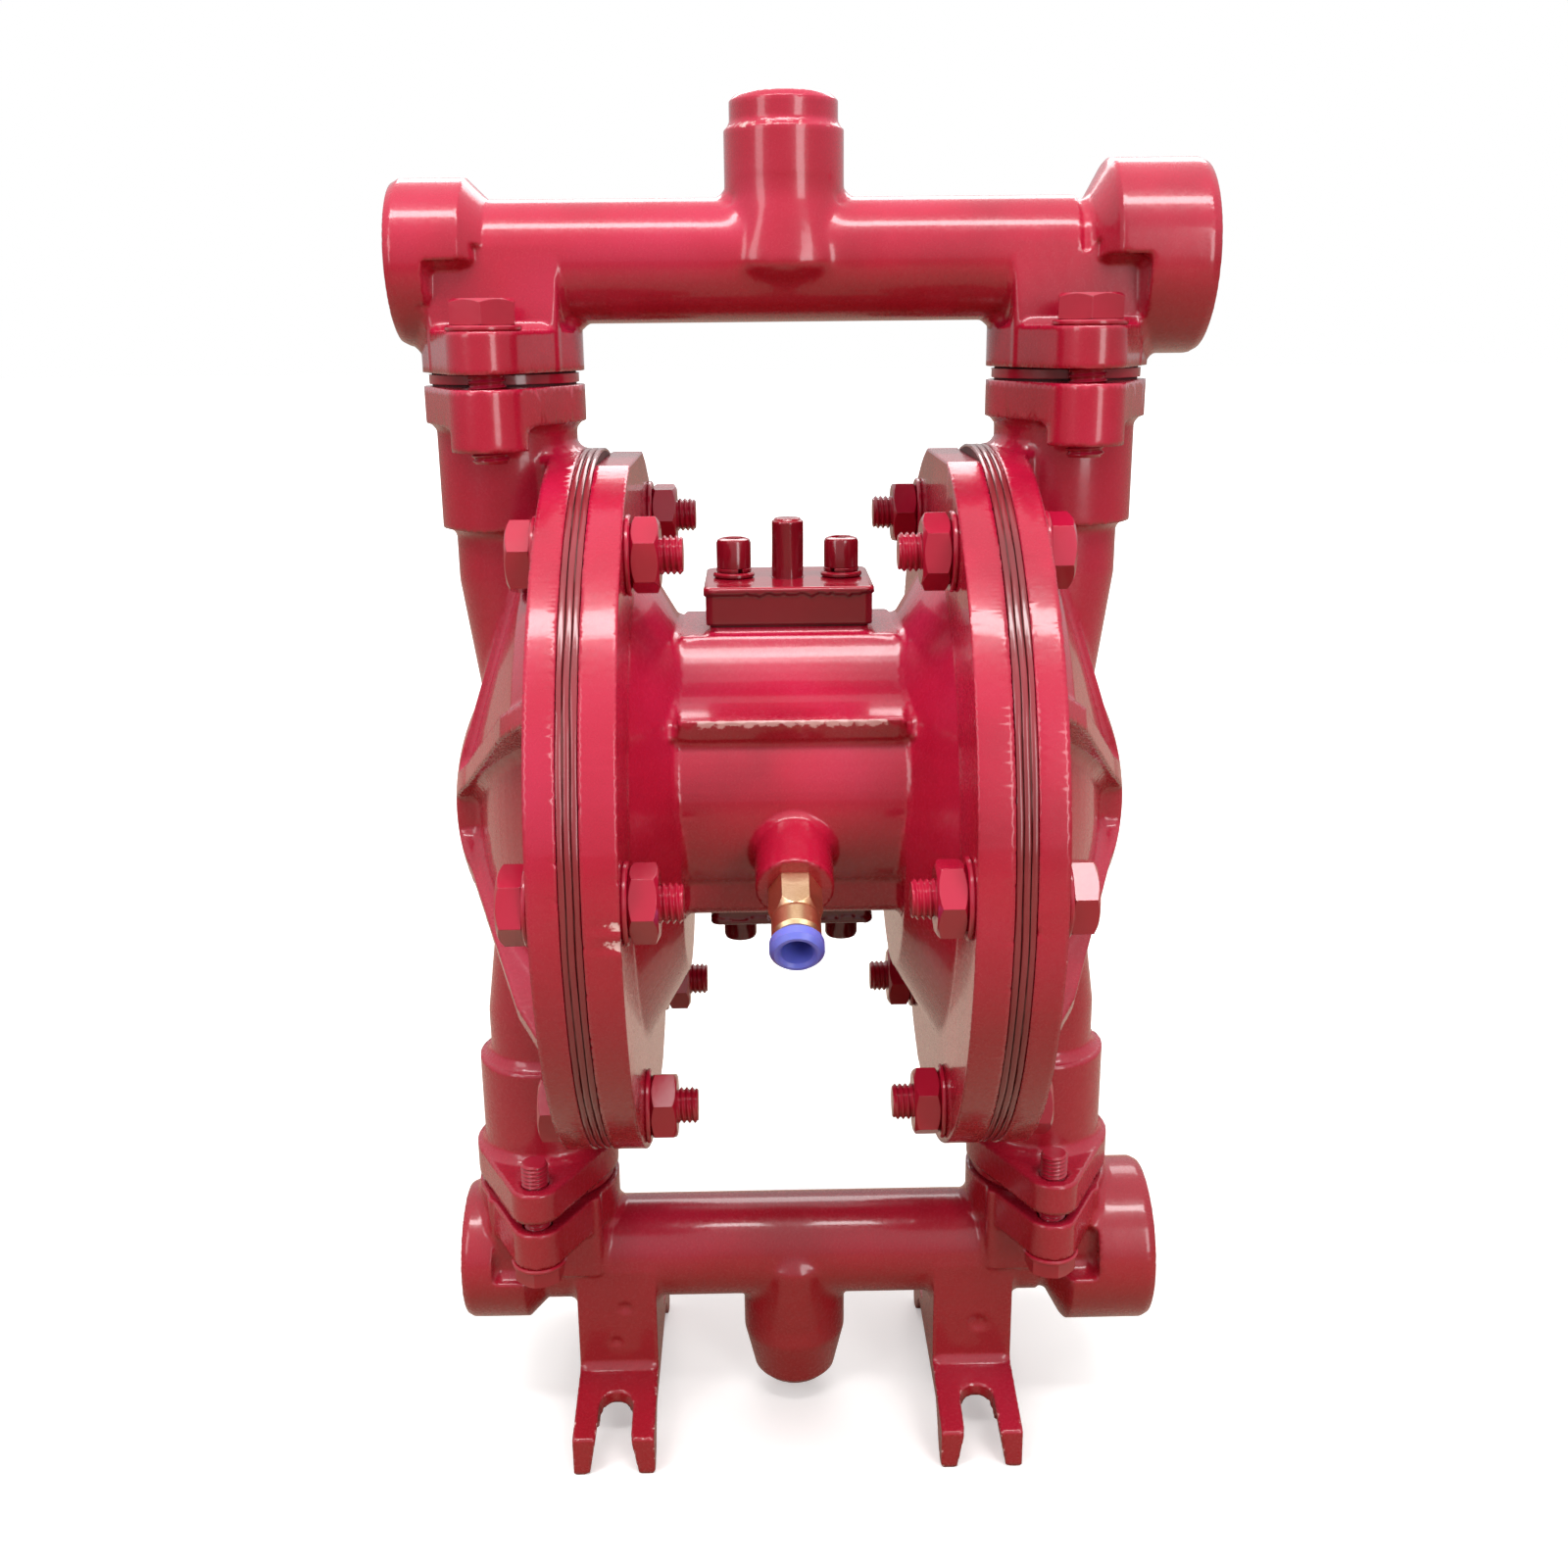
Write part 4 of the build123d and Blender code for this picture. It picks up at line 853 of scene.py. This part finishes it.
def grow(name, tree, spots, sizes, material, crispDeg=26.0):
    # runs a tree on the spots, each a place in millimetres, an axis and a turn in degrees
    mesh = bpy.data.meshes.new(name)
    mesh.from_pydata([place(*spot) for spot, _, _ in spots], [], [])
    mesh.attributes.new("axis", "FLOAT_VECTOR", "POINT")
    mesh.attributes.new("turn", "FLOAT", "POINT")
    for i, (_, way, degrees) in enumerate(spots):
        mesh.attributes["axis"].data[i].vector = way
        mesh.attributes["turn"].data[i].value = math.radians(degrees)
    piece = newObject(name, mesh)
    given = {key: value if key == "Gap" else mm(value) for key, value in sizes.items()}
    given["Material"] = material
    growth = modify(piece, "NODES", node_group=tree)
    for item in tree.interface.items_tree:
        if item.name in given:
            growth[item.identifier] = given[item.name]
    applyModifiers(piece)
    setMaterial(piece, material)
    smooth(piece.data)
    piece.data.set_sharp_from_angle(angle=math.radians(crispDeg))
    print(name, len(piece.data.polygons), "faces")
    return piece


def fasten(nodeName, name, *growing):
    # grown pieces that stand for a CAD node of painted fasteners
    standFor(grow(name, *growing), "pump", "painted_steel", nodeName)


chamberBolts = {
    "count": 6,
    "circleMm": 88.4,
    "head": {"Across Flats": 17.0, "Height": 6.4},
    "thread": {"Radius": 5.0, "Pitch": 1.5, "Depth": 0.75},
    "nut": {"Across Flats": 17.0, "Height": 7.2, "Bore": 4.7},
    "washer": {"Radius": 10.2, "Bore": 5.3, "Height": 1.4, "Edge": 0.4, "Gap": 0.0},
    "headTurn": -15.0,          # degrees, the other way round on every second bolt
    "nutTurn": 20.0,
}


def chamberFasteners(look):
    washerThick = look["washer"]["Height"]
    for side, sign in (("left", -1.0), ("right", 1.0)):
        tip, top = reachMm("chamber_bolts_" + side)
        seat = top - look["head"]["Height"]
        nutSeat = reachMm("chamber_nuts_" + side)[1]
        heads, nuts, outerRings, innerRings = [], [], [], []
        for i in range(look["count"]):
            angle = math.tau * (i + 0.5) / look["count"]
            y = look["circleMm"] * math.sin(angle)
            z = shaftMm + look["circleMm"] * math.cos(angle)
            turn = look["headTurn"] * math.sin(3 * angle)
            heads.append(((sign * seat, y, z), (sign, 0, 0), turn))
            outerRings.append(((sign * (seat - washerThick), y, z), (sign, 0, 0), 0))
            nuts.append(((sign * nutSeat, y, z), (-sign, 0, 0), look["nutTurn"] + turn))
            innerRings.append(((sign * (nutSeat + washerThick), y, z), (-sign, 0, 0), 0))
        name = side.capitalize()
        rod = dict(look["thread"], Length=seat - tip + rodInHeadMm)
        for label, tree, spots, sizes in (
            ("Bolts", boltTree, heads, dict(look["head"], **rod)),
            ("Nuts", nutTree, nuts, look["nut"]),
            ("Washers", ringTree, outerRings + innerRings, look["washer"]),
        ):
            nodeName = f"chamber_{label.lower()}_{side}"
            fasten(nodeName, "chamber" + label + name, tree, spots, sizes, steelEnamel)


manifoldBolts = {
    "discharge": {
        "up": 1.0,
        "head": {"Across Flats": 16.0, "Height": 6.4},
        "thread": {"Radius": 5.0, "Pitch": 1.5, "Depth": 0.75},
        "washer": {"Radius": 9.6, "Bore": 5.3, "Height": 1.4, "Edge": 0.4, "Gap": 0.0},
        "headTurns": (6, -9),
    },
    "inlet": {
        "up": -1.0,
        "head": {"Across Flats": 13.0, "Height": 5.3},
        "thread": {"Radius": 4.0, "Pitch": 1.25, "Depth": 0.62},
        "washer": {"Radius": 8.2, "Bore": 4.3, "Height": 1.4, "Edge": 0.4, "Gap": 0.0},
        "headTurns": (6, -9),
    },
}


def manifoldFasteners(stem, look):
    sign, head, washer = look["up"], look["head"], look["washer"]
    x, y = (faceMm(stem + "_washers", 1, axis) - washer["Radius"] for axis in (0, 1))
    seat = faceMm(stem + "_bolts", sign) - sign * head["Height"]
    tip = faceMm(stem + "_bolts", -sign)
    heads, rings = [], []
    for xSide in (-x, x):
        for ySide in (-y, y):
            turn = look["headTurns"][0 if xSide * ySide > 0 else 1]
            heads.append(((xSide, ySide, seat), (0, 0, sign), turn))
            rings.append(((xSide, ySide, seat - sign * washer["Height"]), (0, 0, sign), 0))
    rod = dict(look["thread"], Length=abs(seat - tip) + rodInHeadMm)
    fasten(stem + "_bolts", stem + "Bolts", boltTree, heads, dict(head, **rod), steelEnamel)
    fasten(stem + "_washers", stem + "Washers", ringTree, rings, washer, steelEnamel)


capScrews = {
    "x": 15.0,
    "head": {"Head Radius": 4.8, "Height": 8.2, "Edge": 1.3, "Socket": 5.0, "Socket Depth": 3.0},
    "thread": {"Radius": 3.0, "Pitch": 1.0, "Depth": 0.5},
    "washer": {"Radius": 5.8, "Bore": 3.3, "Height": 1.6, "Edge": 0.5, "Gap": 0.0},
    "lockRing": {"Radius": 4.9, "Bore": 3.3, "Height": 1.2, "Edge": 0.25, "Gap": 0.28},
    "headTurns": (24, 10),
    "gapTurns": (-60.0, -115.0),    # where each lock ring's split looks
}


def capFasteners(look, where, sign):
    headSeat = faceMm("cap_screws_" + where, sign) - sign * look["head"]["Height"]
    tip = faceMm("cap_screws_" + where, -sign)
    capFace = faceMm("cap_washers_" + where, -sign)
    lockSeat = capFace + sign * look["washer"]["Height"]
    sides = (-look["x"], look["x"])
    heads = [((x, 0, headSeat), (0, 0, sign), turn) for x, turn in zip(sides, look["headTurns"])]
    flats = [((x, 0, capFace), (0, 0, sign), 0) for x in sides]
    locks = [((x, 0, lockSeat), (0, 0, sign), turn) for x, turn in zip(sides, look["gapTurns"])]
    rod = dict(look["thread"], Length=abs(headSeat - tip) + rodInHeadMm)
    name = where.capitalize()
    fasten("cap_screws_" + where, "capScrews" + name, screwTree, heads, dict(look["head"], **rod), capEnamel)
    fasten("cap_washers_" + where, "capWashers" + name, ringTree, flats, look["washer"], capEnamel)
    fasten("cap_washers_" + where, "capLockRings" + name, ringTree, locks, look["lockRing"], capEnamel)


portThreads = {
    # piece: manifold node, which end, thread radius, pitch, depth, length; the small ones stop
    # short of the lifted ball
    "dischargeThreadWide": ("discharge_manifold", 1.0, 15.15, 2.309, 1.0, 15.0),
    "dischargeThreadSmall": ("discharge_manifold", -1.0, 12.06, 1.814, 0.8, 9.5),
    "inletThreadWide": ("inlet_manifold", 1.0, 15.15, 2.309, 1.0, 15.0),
    "inletThreadSmall": ("inlet_manifold", -1.0, 12.06, 1.814, 0.8, 12.0),
}
portLook = {
    "setBackMm": 2.2,       # where the thread starts behind the port's face
    "pipeDropMm": 148.3,    # from the shaft to the middle of either pipe
    "clearMm": 0.05,
}


def cutPortThreads(look):
    for name, (nodeName, sign, radius, pitch, depth, length) in portThreads.items():
        end = faceMm(nodeName, sign, 0)
        z = shaftMm + look["pipeDropMm"] * (1 if nodeName.startswith("discharge") else -1)
        spot = ((end - sign * (look["setBackMm"] + length), 0, z), (sign, 0, 0), 0)
        sizes = {"Radius": radius - look["clearMm"], "Pitch": pitch, "Depth": depth, "Length": length}
        piece = grow(name, portTree, [spot], sizes, cutIron)
        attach(piece, "pump")


chamberFasteners(chamberBolts)
for stem, look in manifoldBolts.items():
    manifoldFasteners(stem, look)
capFasteners(capScrews, "top", 1.0)
capFasteners(capScrews, "bottom", -1.0)
cutPortThreads(portLook)
print("fasteners ready")

diaphragmLook = {
    "bandEdgesMm": (0.0, 1.75, 3.55, 5.3),   # across the clamped rim, from the centre body outwards
    "bandCoats": (2, 2, 2),      # which of the rim's materials each band has
    "grooveMm": 0.32,
    "grooveDepthMm": 0.8,
    "shoulderMm": (0.25, 0.2),  # width and drop of a band's rounded edges
    "rimDropMm": 0.25,          # how far the cut edge stays behind the flange rims
    "clampRadiusMm": 74.0,
    "waveMm": 0.16,
    "driftMm": 0.3,             # how far the plies wander sideways
    "around": 300,
    "sectors": 8,
    "sectorSteps": 6,
    "webMm": (54.0, 72.0),      # radii on the web where it bends as the shaft moves; points there are reckoned but nothing bends the web
    "centreMm": 4.0,            # thickness of the web
    "innerRadiiMm": (6.5, 20, 35),
    "rollMm": 6.0,              # height of the roll, and the radii it lies between
    "rollFromMm": (50.0, 74.0),
    "rollSteps": 8,
}


def ringPoint(bm, x, radius, angle, middle):
    # a point round the shaft, its angle counted from upright; x and radius in millimetres
    return bm.verts.new((mm(x), mm(radius) * math.sin(angle), middle + mm(radius) * math.cos(angle)))


def bridge(bm, loops, indices=None):
    # skins each ring of points to the next one
    count = len(loops[0])
    for here, there in zip(loops, loops[1:]):
        for j in range(count):
            k = (j + 1) % count
            face = bm.faces.new((here[j], here[k], there[k], there[j]))
            if indices:
                face.material_index = indices[j]


def rimProfile(look, radius):
    # (across, radius, material) points round the clamped rim: thinly painted bands with bare rubber in
    # the grooves between them
    groove, deep = look["grooveMm"] / 2, radius - look["grooveDepthMm"]
    edges = look["bandEdgesMm"]
    points = [(edges[0], look["clampRadiusMm"], 1)]
    width, drop = look["shoulderMm"]
    for low, high, coat in zip(edges, edges[1:], look["bandCoats"]):
        near, far = low + groove, high - groove
        points += [
            (near, deep, coat), (near, radius - drop, coat), (near + width, radius, coat),
            (far - width, radius, coat), (far, radius - drop, coat), (far, deep, 1),
        ]
    points.append((edges[-1], look["clampRadiusMm"], 1))
    return points


def diaphragmRim(name, middle, inner, sign, look):
    # the rubber's clamped edge: plies that wander a little, with paint bridging the grooves here and there
    radius = 100.0 - look["rimDropMm"]
    profile = rimProfile(look, radius)
    bm = bmesh.new()
    loops = []
    for i in range(look["around"]):
        angle = math.tau * i / look["around"]
        ring = []
        for across, out, _ in profile:
            way = Vector((math.cos(angle), math.sin(angle), 0.0))
            if out > radius - 0.7 * look["grooveDepthMm"]:
                out += look["waveMm"] * noise.noise(way * 9 + Vector((0, 0, across * 0.9)))
            elif out > look["clampRadiusMm"]:
                bridged = noise.noise(way * 4 + Vector((0, 0, across * 2.1))) + 0.5 * noise.noise(way * 17)
                out += look["grooveDepthMm"] * min(0.85, max(0.0, 0.25 + 1.6 * bridged))
            drift = look["driftMm"] * noise.noise(way * 5 + Vector((7, 0, 0.0)))
            x = sign * (inner + across + (drift if 0.4 < across < 4.9 else 0.0))
            ring.append(ringPoint(bm, x, out, angle, middle))
        loops.append(ring)
    bridge(bm, loops + loops[:1], [material for _, _, material in profile])
    rim = closedPiece(bm, name)
    rim.data.set_sharp_from_angle(angle=math.radians(50))
    setMaterial(rim, steelEnamel, diaphragmRubber, thinCoat)
    return rim


def webSector(name, middle, centreX, sign, index, look):
    # one wedge of the flexing web, from the shaft to the clamped rim
    innerRoll, outerRoll = look["rollFromMm"]
    half = look["centreMm"] / 2
    steps = look["rollSteps"]
    radii = list(look["innerRadiiMm"])
    radii += [innerRoll + (outerRoll - innerRoll) * i / steps for i in range(steps + 1)]
    span = math.tau / look["sectors"]
    bm = bmesh.new()
    loops = []
    for i in range(look["sectorSteps"] + 1):
        angle = span * (index + i / look["sectorSteps"])
        ring = []
        for shift, order in ((-half, radii), (half, radii[::-1])):
            for radius in order:
                share = max(0.0, (radius - innerRoll) / (outerRoll - innerRoll))
                x = centreX + shift - look["rollMm"] * math.sin(math.pi * share)
                ring.append(ringPoint(bm, sign * x, radius, angle, middle))
        loops.append(ring)
    bridge(bm, loops)
    bm.faces.new(loops[0])
    bm.faces.new(reversed(loops[-1]))
    web = closedPiece(bm, name)
    setMaterial(web, diaphragmRubber)
    towards = span * (index + 0.5)
    turned, held = (
        (0.0, mm(r) * math.sin(towards), middle + mm(r) * math.cos(towards)) for r in look["webMm"]
    )
    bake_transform(web)
    return web


for side, sign in (("left", -1.0), ("right", 1.0)):
    low, high = cornersMm("diaphragm_" + side)
    middleZ = mm(0.5 * (low[2] + high[2]))
    outer = reachMm("diaphragm_" + side)[1]
    inner = outer - diaphragmLook["bandEdgesMm"][-1]
    rim = diaphragmRim("diaphragmRim" + side.capitalize(), middleZ, inner, sign, diaphragmLook)
    standFor(rim, "pump", "rubber", "diaphragm_" + side)
    for index in range(diaphragmLook["sectors"]):
        name = f"diaphragmWeb{side.capitalize()}{index}"
        web = webSector(name, middleZ, 0.5 * (inner + outer), sign, index, diaphragmLook)
        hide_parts("diaphragm_" + side)
print("diaphragms ready")

capLook = {
    "voxelMm": 0.5,
    "filletMm": 0.6,
    "turns": 2,
    "lipMm": 0.6,               # thickness of the coat that curls over the cap's top edge
    "lipDepthMm": (1.2, 2.6),
}
pinLook = {"voxelMm": 0.4, "filletMm": 0.4, "turns": 3, "dripMm": 0.22}


def valveCap(nodeName, name, look, sign):
    # a sawn block under a thick coat that ends in a ragged lip round its outer edge
    cap = castSkin(nodeName, name, look["voxelMm"], look["filletMm"], look["turns"])
    face = faceMm(nodeName, sign)
    shallow, deep = look["lipDepthMm"]
    for vertex in cap.data.vertices:
        down = abs(face - vertex.co.z * 1000.0)
        ragged = noise.noise(vertex.co * 160.0) + 0.5 * noise.noise(vertex.co * 420.0)
        if down < shallow + (deep - shallow) * (0.5 + ragged) and abs(vertex.normal.z) < 0.75:
            vertex.co += mm(look["lipMm"]) * Vector((vertex.normal.x, vertex.normal.y, 0.0))
    setMaterial(cap, capEnamel)
    standFor(cap, "pump", "enamelled_iron", nodeName)


def resetPin(look):
    # the pin under runs of paint, with a blunt rounded end
    pin = castSkin("reset_pin", "resetPin", look["voxelMm"], look["filletMm"], look["turns"])
    for vertex in pin.data.vertices:
        run = noise.noise(Vector((vertex.co.x * 420.0, vertex.co.y * 420.0, vertex.co.z * 45.0)))
        vertex.co -= mm(look["dripMm"]) * max(0.0, 0.5 + run) * Vector((vertex.normal.x, vertex.normal.y, 0.0))
    setMaterial(pin, capEnamel)
    standFor(pin, "pin", "painted_steel", "reset_pin")


def pinSpring():
    # the spring between the floor of its well and the pin, as the CAD has it; the ends it would shorten
    # between are reckoned but not used
    spring = mergedCopy("reset_spring", "resetSpring")
    smooth(spring.data)
    setMaterial(spring, brightSteel)
    held, pressed = (tuple(place(0, 0, faceMm("reset_spring", way))) for way in (-1, 1))
    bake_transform(spring)
    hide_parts("reset_spring")


valveCap("valve_cap_top", "valveCapTop", capLook, 1.0)
valveCap("valve_cap_bottom", "valveCapBottom", capLook, -1.0)
resetPin(pinLook)
pinSpring()
print("valve caps ready")


def pairs(*stems):
    return [stem + side for stem in stems for side in ("_left", "_right")]


keptNodes = {
    steelEnamel: ["valve_seats_discharge", "valve_seats_suction"],
    brightSteel: ["diaphragm_shaft", *pairs("inner_plate", "outer_plate", "shaft_nut"), "pilot_rod"],
    turnedBrass: [*pairs("shaft_bush"), "valve_sleeve", "pilot_bushes", "air_fitting_body"],
    valveAluminium: ["valve_spool"],
    blackRubber: [*pairs("discharge_ball", "suction_ball", "shaft_seal"), "spool_rings"],
    gasketFibre: ["seat_gaskets_discharge", "seat_gaskets_suction", "cap_gasket_top", "cap_gasket_bottom"],
    releaseBlue: ["release_collet"],
}

for material, names in keptNodes.items():
    for nodeName in names:
        setMaterial(nodes[nodeName], material)
print("kept nodes dressed")
